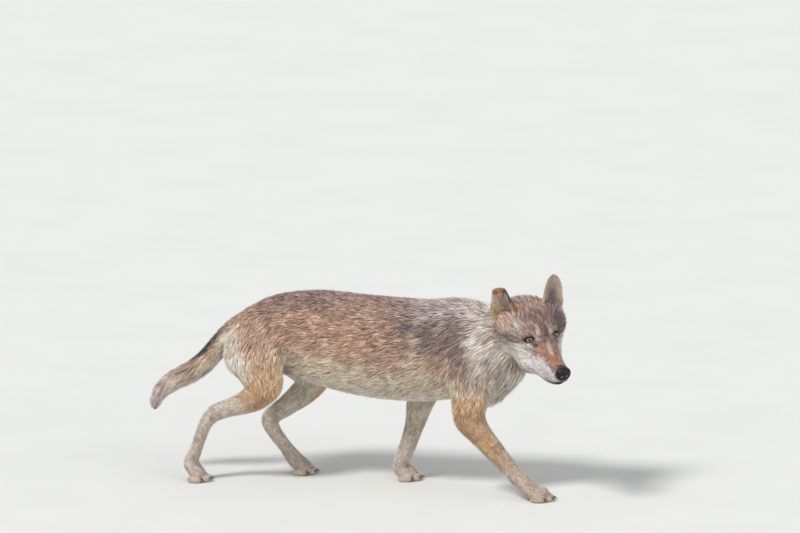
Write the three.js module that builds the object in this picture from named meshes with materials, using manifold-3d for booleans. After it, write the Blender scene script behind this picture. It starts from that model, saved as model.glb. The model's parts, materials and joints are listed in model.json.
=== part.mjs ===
// A life-size still model of a wolf that walks through long grass with its head turned to its
// right. Each solid reaches out to the tips of the coat. Millimetres, +Z up, +X towards the
// chest, +Y towards the wolf's left side. The wolf stands with its four soles on z = 0.
//
// The whole animal is one smooth field: tubes of oval section along the spine, tail and limbs,
// with rounder masses on them, blended where they meet. Its surface is meshed region by region
// and parted with thin flat cuts.
import * as THREE from 'three';
import { mergeVertices } from 'three/addons/utils/BufferGeometryUtils.js';
import Module from 'manifold-3d';

const wasm = await Module();
wasm.setup();

// ---------- driving dimensions ----------

const GAP = 0.3; // left open between neighbouring solids
const ORIGIN = [35.7, -51.9, 0]; // the floor point under the middle of the animal's box
const FLOOR_REST = 0; // height of the soles

const HEAD = {
  between_eyes: [596, -130, 503],
  yaw: 49, // degrees to the wolf's right
  pitch: 18, // nose down
  roll: 6, // left side up
};

const EYE = { forward: -4, out: 41, up: 1, radius: 15 };
const NOSE = { forward: 148, up: -44, radii: [17, 24, 23], lean: 2, flare: 0.14 };
const TINY = 1e-9;
const EAR = {
  length: 122,
  sunk: 0.4, // the share of the leaf's height that lies in the head
  root_thick: 9,
  tip_thick: 3.6,
  cup: 40, // radius of the hollow at the root
  opening: 30, // how much wider the hollow is at the tip
  fullness: 2.7, // 2 would round the tip like an egg's, more makes it blunter
  fold_start: 0.74, // how high up the folded tip starts, as a share
  fold_run: 0.08, // the share of the height that the fold takes
};
const PAW = {
  toe: [23, 12, 14], // half length, width and height
  toe_height: 12,
  places: [-1.5, -0.5, 0.5, 1.5], // of its toes, in spacings from its middle
  spacing: 21,
  outer_set_back: 20,
  claw_length: 17,
  claw_radius: 3.4,
  claw_tip: 0.6,
  claw_drop: 6, // how far its tip has curved down
};

// Blend radii where masses meet
const BLEND = { trunk: 34, neck: 30, tail: 16 };

// Each station is [x, y, z, half width across the body, half depth], from root to tip of the hair.
const TUBES = {
  trunk: [
    [430, -4, 415, 70, 118],
    [375, 0, 418, 92, 146],
    [310, 0, 423, 106, 149],
    [230, 0, 417, 113, 153],
    [140, 0, 415, 115, 156],
    [50, 0, 418, 111, 155],
    [-40, 0, 427, 100, 151],
    [-120, 0, 437, 91, 144],
    [-200, 0, 441, 93, 131],
    [-265, 0, 442, 91, 112],
    [-320, 0, 438, 77, 84],
    [-352, 0, 432, 56, 58],
  ],
  neck: [
    [498, -28, 486, 76, 61],
    [482, -28, 478, 90, 98],
    [450, -24, 456, 98, 124],
    [410, -14, 440, 104, 138],
    [350, -4, 438, 108, 138],
    [290, 0, 450, 104, 122],
  ],
  tail: [
    [-335, 0, 452, 44, 42],
    [-385, 0, 431, 35, 39],
    [-420, -2, 399, 35, 35],
    [-448, -4, 366, 37, 34],
    [-481, -6, 332, 39, 35],
    [-521, -8, 304, 39, 35],
    [-561, -9, 283, 37, 32],
    [-593, -10, 259, 33, 28],
    [-612, -10, 232, 26, 23],
    [-620, -10, 210, 15, 15],
  ],
  fore_right: [
    [300, -58, 500, 34, 56],
    [342, -72, 420, 42, 72],
    [364, -82, 340, 45, 66],
    [364, -88, 280, 41, 56],
    [366, -89, 235, 35, 50],
    [394, -89, 194, 31, 39],
    [431, -88, 152, 28, 33],
    [468, -87, 111, 26, 29],
    [498, -86, 79, 26, 28],
    [526, -86, 51, 28, 25],
    [556, -86, 29, 35, 26],
    [583, -86, 21, 37, 22],
  ],
  fore_left: [
    [290, 58, 500, 34, 56],
    [262, 72, 420, 42, 70],
    [222, 82, 350, 45, 64],
    [190, 88, 300, 41, 54],
    [173, 88, 258, 35, 48],
    [161, 88, 215, 30, 39],
    [150, 88, 170, 27, 31],
    [137, 87, 128, 25, 27],
    [126, 87, 95, 26, 27],
    [114, 87, 62, 28, 24],
    [113, 87, 34, 34, 26],
    [133, 87, 21, 37, 22],
  ],
  hind_right: [
    [-270, -52, 480, 40, 78],
    [-284, -74, 430, 47, 96],
    [-286, -89, 385, 49, 96],
    [-279, -97, 342, 46, 81],
    [-264, -98, 303, 42, 56],
    [-287, -96, 268, 37, 44],
    [-330, -93, 243, 31, 35],
    [-374, -91, 226, 27, 29],
    [-416, -89, 206, 25, 27],
    [-441, -88, 178, 22, 22],
    [-457, -88, 140, 21, 20],
    [-473, -88, 95, 22, 20],
    [-486, -88, 54, 28, 24],
    [-466, -88, 22, 35, 23],
  ],
  hind_left: [
    [-262, 52, 480, 40, 78],
    [-256, 74, 430, 47, 94],
    [-232, 88, 385, 49, 92],
    [-196, 96, 335, 45, 76],
    [-166, 96, 290, 40, 51],
    [-192, 93, 248, 34, 42],
    [-240, 90, 206, 28, 33],
    [-292, 88, 158, 25, 27],
    [-278, 88, 120, 22, 23],
    [-247, 88, 80, 22, 21],
    [-218, 88, 44, 29, 25],
    [-190, 88, 22, 35, 23],
  ],
};

// The head, in its own frame: [forward, left, up, half width, half depth], from the nose back.
const HEAD_TUBE = [
  [138, 0, -47, 23, 23],
  [128, 0, -52, 31, 32],
  [108, 0, -59, 35, 39],
  [80, 0, -62, 39, 46],
  [52, 0, -61, 43, 53],
  [26, 0, -54, 46, 58],
  [4, 0, -46, 49, 65],
  [-18, 0, -34, 59, 71],
  [-44, 0, -22, 78, 74],
  [-74, 0, -15, 98, 76],
  [-108, 0, -12, 104, 76],
  [-146, 0, -14, 94, 68],
];
const HEAD_REACH = 320; // no part of the head is further from the point between its eyes

// Rounder masses on the head's sides: [forward, left, up], [radii]
const HEAD_MASSES = {
  temple: { at: [-72, 66, 0], radii: [50, 42, 42], blend: 30 },
  jowl: { at: [-44, 48, -46], radii: [42, 33, 40], blend: 30 },
  jaw: { at: [-8, 38, -80], radii: [44, 28, 34], blend: 26 },
  ear_base: { at: [-88, 60, 38], radii: [32, 30, 24], blend: 30 },
  ear_cuff: { at: [-106, 82, 16], radii: [30, 26, 34], blend: 24 },
  brow: { at: [-16, 31, 20], radii: [20, 14, 10], blend: 12 },
  orbit: { at: [-19, 35, 2], radii: [24, 18, 20], blend: 12 },
};

const CHEST_BIB = { at: [392, -8, 335], radii: [72, 66, 84] };
const BREECHES = [
  { at: [-352, -62, 385], radii: [34, 40, 62] },
  { at: [-326, 58, 398], radii: [38, 38, 50] },
];

// The middle of each paw's two foremost toes
const PAWS = {
  fore_right: [597, -86],
  fore_left: [147, 87],
  hind_right: [-450, -88],
  hind_left: [-175, 88],
};

// ---------- the field ----------

const v3 = (a) => new THREE.Vector3(...a);

// A tube through its stations: a smooth curve cut in short spans, each with its own oval section.
function tube(stations, cuts = 4) {
  const curve = new THREE.CatmullRomCurve3(stations.map((s) => v3(s)), false, 'centripetal');
  const sizes = new THREE.SplineCurve(stations.map((s) => new THREE.Vector2(s[3], s[4])));
  const count = (stations.length - 1) * cuts;
  const points = [];
  const radii = [];
  for (let i = 0; i <= count; i++) {
    points.push(curve.getPoint(i / count));
    radii.push(sizes.getPoint(i / count));
  }
  const lateral = new THREE.Vector3(0, 1, 0);
  const box = new THREE.Box3().setFromPoints(points);
  const margin = Math.max(...stations.map((s) => Math.max(s[3], s[4]))) + 60;
  const spans = points.slice(1).map((end, i) => {
    const start = points[i];
    const along = end.clone().sub(start);
    const length = along.length();
    along.divideScalar(length);
    const side = lateral.clone().addScaledVector(along, -lateral.dot(along)).normalize();
    const depth = along.clone().cross(side);
    return { start, along, length, side, depth, from: radii[i], to: radii[i + 1] };
  });
  spans[0].end = 0;
  spans[spans.length - 1].end = 1;
  return { spans, box, margin };
}

// Distance to an oval of three radii, from an offset along its axes
function ovalDistance(x, y, z, a, b, c) {
  const near = Math.hypot(x / a, y / b, z / c);
  const slope = Math.hypot(x / (a * a), y / (b * b), z / (c * c));
  return slope < 1e-6 ? -Math.min(a, b, c) : (near * (near - 1)) / slope;
}

const FAR = 1000; // stands for any distance well beyond the next cell
const offset = new THREE.Vector3();

// Distance from the oval section at the nearest point of the tube's middle line
function tubeDistance(shape, p) {
  if (shape.box.distanceToPoint(p) > shape.margin) return FAR;
  let nearest = Infinity;
  let span;
  let at;
  for (const s of shape.spans) {
    offset.subVectors(p, s.start);
    const t = Math.min(1, Math.max(0, offset.dot(s.along) / s.length));
    const away = offset.addScaledVector(s.along, -t * s.length).lengthSq();
    if (away >= nearest) continue;
    [nearest, span, at] = [away, s, t];
  }
  offset.subVectors(p, span.start).addScaledVector(span.along, -at * span.length);
  const wide = span.from.x + (span.to.x - span.from.x) * at;
  const deep = span.from.y + (span.to.y - span.from.y) * at;
  const past = span.end === at ? offset.dot(span.along) : 0;
  return ovalDistance(offset.dot(span.side), offset.dot(span.depth), past, wide, deep, Math.min(wide, deep));
}

function massDistance(m, p) {
  return ovalDistance(p.x - m.at[0], p.y - m.at[1], p.z - m.at[2], ...m.radii);
}

function blend(a, b, radius) {
  const h = Math.max(radius - Math.abs(a - b), 0) / radius;
  return Math.min(a, b) - h * h * radius * 0.25;
}

const mirrored = (m) => ({ ...m, at: [m.at[0], -m.at[1], m.at[2]] });

const tubes = Object.fromEntries(Object.entries(TUBES).map(([name, rows]) => [name, tube(rows)]));
const headTube = tube(HEAD_TUBE);
const headMasses = Object.values(HEAD_MASSES).flatMap((m) => [m, mirrored(m)]);

// The head's frame in the body's
const rad = THREE.MathUtils.degToRad;
const headFrame = new THREE.Matrix4()
  .makeTranslation(...HEAD.between_eyes)
  .multiply(new THREE.Matrix4().makeRotationZ(-rad(HEAD.yaw)))
  .multiply(new THREE.Matrix4().makeRotationY(rad(HEAD.pitch)))
  .multiply(new THREE.Matrix4().makeRotationX(rad(HEAD.roll)));
const toHead = headFrame.clone().invert();
const headMiddle = v3(HEAD.between_eyes);

function headDistance(p) {
  if (p.distanceTo(headMiddle) > HEAD_REACH) return FAR;
  const q = p.clone().applyMatrix4(toHead);
  let d = tubeDistance(headTube, q);
  for (const m of headMasses) d = blend(d, massDistance(m, q), m.blend);
  return d;
}

const toesOf = ([x, y]) =>
  PAW.places.map((place) => ({
    at: [x - (Math.abs(place) - 0.5) * PAW.outer_set_back, y + place * PAW.spacing, PAW.toe_height],
    radii: PAW.toe,
  }));

function wolf(p) {
  let d = tubeDistance(tubes.trunk, p);
  d = blend(d, massDistance(CHEST_BIB, p), BLEND.trunk);
  for (const breech of BREECHES) d = blend(d, massDistance(breech, p), BLEND.tail);
  d = blend(d, tubeDistance(tubes.neck, p), BLEND.neck);
  d = blend(d, tubeDistance(tubes.tail, p), BLEND.tail);
  d = blend(d, headDistance(p), BLEND.neck);
  let legs = FAR;
  for (const leg of ['fore_right', 'fore_left', 'hind_right', 'hind_left']) {
    legs = Math.min(legs, tubeDistance(tubes[leg], p));
  }
  return blend(d, legs, BLEND.trunk);
}

// ---------- meshing and cutting ----------

const STEPS = [[1, 0, 0], [0, 1, 0], [0, 0, 1]];
const CORNERS = [...Array(8).keys()].map((c) => [c & 1, (c >> 1) & 1, c >> 2]);
const EDGES = [];
for (let a = 0; a < 8; a++) for (const bit of [1, 2, 4]) if (!(a & bit)) EDGES.push([a, a | bit]);

// The field's values at the points of a grid, with an empty rim. Where two diagonal corners of a
// square are inside and the others out, one more is filled, so that no two sheets share an edge.
function sampled(low, size, cell, frame) {
  const at = (i, j, k) => (k * size[1] + j) * size[0] + i;
  const values = new Float32Array(size[0] * size[1] * size[2]);
  const p = new THREE.Vector3();
  const inner = [];
  for (let k = 0; k < size[2]; k++)
    for (let j = 0; j < size[1]; j++)
      for (let i = 0; i < size[0]; i++) {
        const rim = [i, j, k].some((n, axis) => n === 0 || n === size[axis] - 1);
        p.set(low[0] + i * cell, low[1] + j * cell, low[2] + k * cell).applyMatrix4(frame);
        values[at(i, j, k)] = rim ? cell / 2 : wolf(p);
        if (!rim) inner.push(at(i, j, k));
      }
  const jumps = [1, size[0], size[0] * size[1]];
  for (let changed = true; changed; ) {
    changed = false;
    for (const here of inner)
      for (let axis = 0; axis < 3; axis++) {
        const [u, w] = [jumps[(axis + 1) % 3], jumps[(axis + 2) % 3]];
        const ends = [[here, here + u + w], [here + u, here + w]];
        const inside = ends.map((pair) => pair.map((n) => values[n] < 0));
        if (inside[0][0] !== inside[0][1] || inside[1][0] !== inside[1][1] || inside[0][0] === inside[1][0]) continue;
        const [first, second] = inside[0][0] ? ends[1] : ends[0];
        values[values[first] < values[second] ? first : second] = -0.04 * cell;
        changed = true;
      }
  }
  return { values, at };
}

// The zero surface of the field inside a box, as a closed solid. frame places the box's grid.
function surfaceIn(low, high, cell, frame = new THREE.Matrix4()) {
  const size = low.map((l, i) => Math.ceil((high[i] - l) / cell) + 1);
  const { values, at } = sampled(low, size, cell, frame);
  const vertexOf = new Int32Array(values.length).fill(-1);
  const points = [];
  for (let k = 0; k < size[2] - 1; k++)
    for (let j = 0; j < size[1] - 1; j++)
      for (let i = 0; i < size[0] - 1; i++) {
        const here = CORNERS.map((c) => values[at(i + c[0], j + c[1], k + c[2])]);
        const sum = [0, 0, 0];
        let crossed = 0;
        for (const [a, b] of EDGES) {
          if (here[a] < 0 === here[b] < 0) continue;
          const t = here[a] / (here[a] - here[b]);
          for (let n = 0; n < 3; n++) sum[n] += CORNERS[a][n] + (CORNERS[b][n] - CORNERS[a][n]) * t;
          crossed++;
        }
        if (!crossed) continue;
        vertexOf[at(i, j, k)] = points.length;
        const place = [i, j, k].map((n, axis) => low[axis] + (n + sum[axis] / crossed) * cell);
        points.push(new THREE.Vector3(...place).applyMatrix4(frame));
      }
  const triangles = [];
  for (let k = 0; k < size[2] - 1; k++)
    for (let j = 0; j < size[1] - 1; j++)
      for (let i = 0; i < size[0] - 1; i++)
        STEPS.forEach((step, axis) => {
          const inside = values[at(i, j, k)] < 0;
          if (inside === values[at(i + step[0], j + step[1], k + step[2])] < 0) return;
          const u = STEPS[(axis + 1) % 3];
          const w = STEPS[(axis + 2) % 3];
          const ring = [[0, 0], [1, 0], [1, 1], [0, 1]].map(
            ([m, n]) => vertexOf[at(i - u[0] * m - w[0] * n, j - u[1] * m - w[1] * n, k - u[2] * m - w[2] * n)],
          );
          if (!inside) ring.reverse();
          const [a, b, c, d] = ring;
          const crosswise = points[a].distanceTo(points[c]) > points[b].distanceTo(points[d]);
          triangles.push(...(crosswise ? [a, b, d, b, c, d] : [a, b, c, a, c, d]));
        });
  settle(points, triangles, cell);
  return solid(points, triangles);
}

// Evens out the mesh, then draws its points back onto the surface. Points on the box's rim stay off.
function settle(points, triangles, cell) {
  const slope = new THREE.Vector3();
  for (let round = 0; round < 4; round++) {
    const sums = points.map(() => new THREE.Vector4(0, 0, 0, 0));
    for (let n = 0; n < triangles.length; n++) {
      const next = n % 3 === 2 ? n - 2 : n + 1;
      const { x, y, z } = points[triangles[next]];
      sums[triangles[n]].add(new THREE.Vector4(x, y, z, 1));
    }
    points.forEach((p, n) => {
      const start = wolf(p);
      if (Math.abs(start) > cell * 0.7) return;
      p.lerp(new THREE.Vector3(sums[n].x, sums[n].y, sums[n].z).divideScalar(sums[n].w), 0.5);
      for (let step = 0; step < 2; step++) {
        const d = wolf(p);
        slope.set(...STEPS.map((s) => wolf(p.clone().addScaledVector(v3(s), 0.5)) - d)).divideScalar(0.5);
        const pull = THREE.MathUtils.clamp(d, -cell / 3, cell / 3) / Math.max(slope.lengthSq(), 0.3);
        p.addScaledVector(slope, -pull);
      }
    });
  }
}

function solid(points, triangles) {
  return new wasm.Manifold(
    new wasm.Mesh({
      numProp: 3,
      vertProperties: new Float32Array(points.flatMap((p) => [p.x, p.y, p.z])),
      triVerts: new Uint32Array(triangles),
    }),
  );
}

function solidOf(geometry) {
  const bare = geometry.clone();
  bare.deleteAttribute('normal');
  bare.deleteAttribute('uv');
  const merged = mergeVertices(bare, 1e-4);
  return new wasm.Manifold(
    new wasm.Mesh({
      numProp: 3,
      vertProperties: merged.attributes.position.array,
      triVerts: new Uint32Array(merged.index.array),
    }),
  );
}

function geometryOf(made) {
  const mesh = made.getMesh();
  const geometry = new THREE.BufferGeometry();
  geometry.setAttribute('position', new THREE.BufferAttribute(new Float32Array(mesh.vertProperties), 3));
  geometry.setIndex(new THREE.BufferAttribute(mesh.triVerts, 1));
  const flat = geometry.toNonIndexed();
  flat.computeVertexNormals();
  return flat;
}

const ROOM = 3000;

// A block that fills the side of a plane away from its normal
function sideOf(point, normal, gap = 0) {
  const n = v3(normal).normalize();
  const block = new THREE.BoxGeometry(ROOM, ROOM, ROOM);
  block.translate(0, 0, -ROOM / 2 - gap);
  block.applyQuaternion(new THREE.Quaternion().setFromUnitVectors(new THREE.Vector3(0, 0, 1), n));
  block.translate(...point);
  return solidOf(block);
}

const behind = (made, point, normal) => made.intersect(sideOf(point, normal, GAP / 2));
const ahead = (made, point, normal) => behind(made, point, normal.map((n) => -n));

// ---------- where the body is parted ----------

const headPoint = (f, l, u) => new THREE.Vector3(f, l, u).applyMatrix4(headFrame).toArray();
const headDirection = (f, l, u) => new THREE.Vector3(f, l, u).transformDirection(headFrame).toArray();

const CUTS = {
  head: { at: headPoint(-112, 0, 0), normal: headDirection(0.93, -0.18, 0.36) },
  muzzle: { at: headPoint(32, 0, 0), normal: headDirection(1, 0, 0) },
  neck: { at: [432, -18, 440], normal: [0.94, -0.22, 0.26] },
  tail: { at: [-392, 0, 430], normal: [-1, 0, 0] },
};

// A leg's room lies outside a distance from the midline, between two ends, and below a plane that
// slants up from [that distance, height] to [distance, height]. Inside it the leg is parted again
// across its elbow or knee, and above its paw.
const LEGS = {
  fore_right: {
    side: -1,
    slant: [[30, 238], [125, 325]],
    ends: [286, 900],
    joint: [[372, -89, 222], [0.6, 0, -0.8]],
    ankle: [[530, -86, 47], [0.8, 0, -0.6]],
  },
  fore_left: {
    side: 1,
    slant: [[30, 238], [125, 325]],
    ends: [40, 262],
    joint: [[174, 88, 240], [-0.27, 0, -0.96]],
    ankle: [[112, 87, 50], [0.1, 0, -1]],
  },
  hind_right: {
    side: -1,
    slant: [[50, 300], [125, 380]],
    ends: [-560, -168],
    joint: [[-296, -96, 262], [-0.6, 0, -0.8]],
    ankle: [[-482, -88, 62], [0.1, 0, -1]],
  },
  hind_left: {
    side: 1,
    slant: [[46, 288], [125, 372]],
    ends: [-345, -84],
    joint: [[-176, 94, 268], [-0.7, 0, -0.71]],
    ankle: [[-226, 88, 56], [0.75, 0, -0.66]],
  },
};

function legRoom(leg, gap) {
  const [[near, low], [far, high]] = leg.slant;
  return sideOf([0, leg.side * near, low], [0, -leg.side * (high - low), far - near], -gap)
    .intersect(sideOf([leg.ends[0], 0, 0], [-1, 0, 0], -gap))
    .intersect(sideOf([leg.ends[1], 0, 0], [1, 0, 0], -gap))
    .intersect(sideOf([0, leg.side * near, 0], [0, -leg.side, 0], -gap));
}

// A frame at one point whose z runs to another, for grids that follow a limb
function alongFrame(from, to) {
  const run = v3(to).sub(v3(from));
  const length = run.length();
  const turn = new THREE.Quaternion().setFromUnitVectors(new THREE.Vector3(0, 0, 1), run.normalize());
  return { frame: new THREE.Matrix4().makeRotationFromQuaternion(turn).setPosition(...from), length };
}

// ---------- pieces shaped on their own ----------

// An ear: a ball pressed to a leaf, cupped forwards, its tip folded over by fold degrees.
function ear({ fold, half_width, spread, taper }, grow) {
  const ball = new THREE.SphereGeometry(1, 12, 10);
  ball.rotateX(Math.PI / 2);
  const place = ball.attributes.position;
  for (let i = 0; i < place.count; i++) {
    const level = Math.abs(place.getZ(i));
    const round = Math.sqrt(Math.max(1 - level * level, TINY));
    const fuller = Math.sqrt(Math.max(1 - level ** EAR.fullness, 0)) / round;
    const across = -place.getX(i) * fuller;
    const thick = place.getY(i) * fuller;
    const s = (place.getZ(i) + EAR.sunk) / (1 + EAR.sunk);
    const hollow = EAR.cup + EAR.opening * s;
    const bend = (across * (half_width + grow) * (spread - taper * s)) / hollow;
    const radius = hollow - thick * (EAR.root_thick + (EAR.tip_thick - EAR.root_thick) * s + grow);
    const past = Math.max(0, s - EAR.fold_start);
    const turn = rad(fold) * Math.min(1, past / EAR.fold_run);
    const straight = Math.min(s, EAR.fold_start) * EAR.length;
    const forward = hollow - radius * Math.cos(bend);
    place.setXYZ(
      i,
      forward * Math.cos(turn) + past * EAR.length * Math.sin(turn),
      radius * Math.sin(bend),
      straight + past * EAR.length * Math.cos(turn) - forward * Math.sin(turn),
    );
  }
  return ball;
}

// Ear placements in the head's frame: the root, and degrees of lean outwards, back and turn outwards
const EARS = {
  ear_left: {
    root: [-104, 65, 10],
    lean: -7,
    back: 4,
    turn: 15,
    fold: 0,
    half_width: 42,
    spread: 1.08, // share of its width that the leaf has at the root
    taper: 0.16, // share that it has lost at the tip
  },
  ear_right: {
    root: [-102, -75, 36],
    lean: 14,
    back: 4,
    turn: -30,
    fold: 132,
    half_width: 38,
    spread: 1.18,
    taper: 0.74,
  },
};

function placedEar(spec, grow = 0) {
  const shape = ear(spec, grow);
  shape.rotateZ(rad(spec.turn));
  shape.rotateX(rad(spec.lean));
  shape.rotateY(-rad(spec.back));
  shape.translate(...spec.root);
  shape.applyMatrix4(headFrame);
  return solidOf(shape);
}

function eyeball(side, grow = 0) {
  const ball = new THREE.SphereGeometry(EYE.radius + grow, 10, 7);
  ball.translate(EYE.forward, side * EYE.out, EYE.up);
  ball.applyMatrix4(headFrame);
  return solidOf(ball);
}

// The bare pad at the muzzle's end
function nosePad(grow = 0) {
  const pad = new THREE.SphereGeometry(1, 12, 8);
  const place = pad.attributes.position;
  for (let i = 0; i < place.count; i++) {
    const up = place.getZ(i);
    const [long, wide, high] = NOSE.radii.map((r) => r + grow);
    place.setXYZ(
      i,
      NOSE.forward + place.getX(i) * long + up * NOSE.lean,
      place.getY(i) * wide * (1 + NOSE.flare * up),
      NOSE.up + up * high,
    );
  }
  pad.applyMatrix4(headFrame);
  return solidOf(pad);
}

function toeBall(toe) {
  const ball = new THREE.SphereGeometry(1, 7, 5);
  ball.rotateZ(Math.PI / 2);
  ball.scale(...toe.radii);
  ball.translate(...toe.at);
  return solidOf(ball);
}

// A curved claw that leaves its toe forwards and down
function claw(toe, grow = 0) {
  const length = PAW.claw_length + 2 * grow;
  const cone = new THREE.CylinderGeometry(PAW.claw_tip + grow, PAW.claw_radius + grow, length, 5, 1);
  cone.rotateZ(-Math.PI / 2);
  const place = cone.attributes.position;
  for (let i = 0; i < place.count; i++) {
    const reach = place.getX(i) / PAW.claw_length + 0.5;
    place.setZ(i, place.getZ(i) - reach * reach * PAW.claw_drop);
  }
  cone.translate(toe.at[0] + PAW.toe[0] + 1, toe.at[1], toe.at[2]);
  return solidOf(cone);
}

// ---------- materials ----------

const finish = (color, roughness) => new THREE.MeshStandardMaterial({ color, roughness, metalness: 0 });
const coat = {
  back: finish(0x9a8474, 0.9),
  cream: finish(0xcfc0ae, 0.9),
  rust: finish(0xb98a62, 0.9),
  grey: finish(0x8d8078, 0.9),
};
const eyeFinish = finish(0xb9a074, 0.15);
const padFinish = finish(0x2a2326, 0.45);
const clawFinish = finish(0x3a332d, 0.4);

// ---------- the model ----------

const model = new THREE.Group();

function add(name, made, material) {
  const mesh = new THREE.Mesh(geometryOf(made), material);
  mesh.name = name;
  model.add(mesh);
}

const floor = (made) => made.intersect(sideOf([0, 0, FLOOR_REST], [0, 0, -1]));
const CELL = { head: 22, muzzle: 14, neck: 37, trunk: 45, tail: 28, upper: 30, lower: 22, paw: 20 };

// Head and muzzle, with the nose, eyes and ears let into them
const earCuts = Object.values(EARS).map((spec) => placedEar(spec, GAP * 1.3));
let head = surfaceIn([-190, -150, -150], [185, 150, 130], CELL.head, headFrame);
head = behind(ahead(head, CUTS.head.at, CUTS.head.normal), CUTS.muzzle.at, CUTS.muzzle.normal);
for (const hole of [...earCuts, eyeball(1, GAP), eyeball(-1, GAP)]) head = head.subtract(hole);
let muzzle = surfaceIn([0, -75, -135], [175, 75, 20], CELL.muzzle, headFrame);
muzzle = ahead(muzzle, CUTS.muzzle.at, CUTS.muzzle.normal).subtract(nosePad(GAP));
add('head', head, coat.grey);
add('muzzle', muzzle, coat.cream);
for (const [name, spec] of Object.entries(EARS)) add(name, placedEar(spec), coat.rust);
add('eye_left', eyeball(1), eyeFinish);
add('eye_right', eyeball(-1), eyeFinish);
add('nose', nosePad(), padFinish);

// Neck, trunk and tail
let neck = surfaceIn([340, -200, 200], [640, 130, 680], CELL.neck);
neck = behind(neck, CUTS.head.at, CUTS.head.normal);
neck = ahead(neck, CUTS.neck.at, CUTS.neck.normal);
for (const hole of earCuts) neck = neck.subtract(hole);
let trunk = surfaceIn([-440, -170, 180], [560, 170, 650], CELL.trunk);
trunk = behind(behind(trunk, CUTS.neck.at, CUTS.neck.normal), CUTS.head.at, CUTS.head.normal);
trunk = behind(trunk, CUTS.tail.at, CUTS.tail.normal);
const brush = alongFrame(CUTS.tail.at, TUBES.tail.at(-1));
let tail = surfaceIn([-120, -75, -60], [120, 75, brush.length + 50], CELL.tail, brush.frame);
tail = ahead(tail, CUTS.tail.at, CUTS.tail.normal);

// Legs, each in three
for (const [name, leg] of Object.entries(LEGS)) {
  const room = legRoom(leg, -GAP / 2);
  const wide = legRoom(leg, GAP / 2);
  trunk = trunk.subtract(wide);
  neck = neck.subtract(wide);
  tail = tail.subtract(wide);
  const stations = TUBES[name];
  const reach = (axis, pick) => pick(...stations.map((s) => s[axis]));
  const low = [reach(0, Math.min) - 110, Math.min(0, leg.side * 170), -30];
  const high = [reach(0, Math.max) + 110, Math.max(0, leg.side * 170), reach(2, Math.max)];
  const pawLow = [PAWS[name][0] - 110, low[1], -30];
  const pawHigh = [PAWS[name][0] + 60, high[1], leg.ankle[0][2] + 40];
  const upper = behind(surfaceIn(low, high, CELL.upper).intersect(room), ...leg.joint);
  const shank = alongFrame(leg.joint[0], leg.ankle[0]);
  const box = [[-140, -75, -70], [140, 75, shank.length + 60]];
  let lower = ahead(surfaceIn(...box, CELL.lower, shank.frame).intersect(room), ...leg.joint);
  lower = behind(lower, ...leg.ankle);
  let paw = ahead(surfaceIn(pawLow, pawHigh, CELL.paw).intersect(room), ...leg.ankle);
  for (const toe of toesOf(PAWS[name])) paw = paw.add(toeBall(toe));
  toesOf(PAWS[name]).forEach((toe, i) => {
    paw = paw.subtract(claw(toe, GAP));
    add(`claw_${name}_${i + 1}`, claw(toe), clawFinish);
  });
  add(`${name}_upper`, upper, coat.rust);
  add(`${name}_lower`, lower, coat.rust);
  add(`${name}_paw`, floor(paw), coat.cream);
}
add('neck', neck, coat.cream);
add('trunk', trunk, coat.back);
add('tail', tail, coat.cream);

model.position.set(-ORIGIN[0], -ORIGIN[1], -ORIGIN[2]);

export default model;
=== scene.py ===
"""Looks for a life-size still model of a wolf that walks with its head turned to its right.

One skin lies inside the solids by the coat's depth, and thousands of thin solid tufts lie over
it and reach out to the solids' surface. Shapes are worked out in millimetres in the maker's own
frame, whose origin is not the row frame's, and become metres in the row frame when a mesh is made.
"""

import json
import logging
import math
from collections.abc import Callable, Iterable, Iterator, Sequence
from contextlib import contextmanager
from dataclasses import dataclass, replace
from enum import IntEnum

import bmesh
import bpy
import numpy as np
from mathutils import Matrix, Vector
from mathutils.kdtree import KDTree

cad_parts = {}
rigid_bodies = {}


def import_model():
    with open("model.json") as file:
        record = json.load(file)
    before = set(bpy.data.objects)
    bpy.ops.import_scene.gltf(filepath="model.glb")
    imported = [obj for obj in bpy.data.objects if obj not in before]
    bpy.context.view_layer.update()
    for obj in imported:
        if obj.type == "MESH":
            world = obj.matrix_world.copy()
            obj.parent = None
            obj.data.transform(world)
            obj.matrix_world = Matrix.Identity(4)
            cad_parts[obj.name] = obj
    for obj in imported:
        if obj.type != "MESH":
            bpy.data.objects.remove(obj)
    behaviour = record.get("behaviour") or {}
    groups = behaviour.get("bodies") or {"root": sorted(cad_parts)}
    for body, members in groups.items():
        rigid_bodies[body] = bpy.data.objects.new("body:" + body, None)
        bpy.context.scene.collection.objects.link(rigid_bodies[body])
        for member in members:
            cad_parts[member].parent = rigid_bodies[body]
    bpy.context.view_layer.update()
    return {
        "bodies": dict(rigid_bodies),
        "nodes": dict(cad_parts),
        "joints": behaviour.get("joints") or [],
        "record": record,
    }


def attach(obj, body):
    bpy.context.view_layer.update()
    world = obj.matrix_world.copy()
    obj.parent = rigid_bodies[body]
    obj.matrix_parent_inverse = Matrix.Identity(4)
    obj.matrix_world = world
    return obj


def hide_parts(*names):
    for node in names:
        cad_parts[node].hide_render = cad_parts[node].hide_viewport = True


Array = np.ndarray
Pair = tuple[float, float]
Triple = tuple[float, float, float]
Object = bpy.types.Object
Mesh = bpy.types.Mesh
BMesh = bmesh.types.BMesh
Material = bpy.types.Material
Node = bpy.types.Node
Socket = bpy.types.NodeSocket

LOG = logging.getLogger("wolf")
METRES_PER_MM = 0.001
ROW_ORIGIN = np.array((35.7, -51.9, 0.0))  # the row frame's origin, in the maker's frame
UP = np.array((0.0, 0.0, 1.0))
FAR = 1000.0  # stands for any distance well away from the surface
TINY = 1e-9
LEAST_SLOPE = 1e-6  # keeps a field finite where it is flat


# ---------- small helpers ----------


def to_row(points: Array) -> Array:
    """Turns millimetres in the maker's frame into metres in the row frame."""
    return (points - ROW_ORIGIN) * METRES_PER_MM


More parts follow.
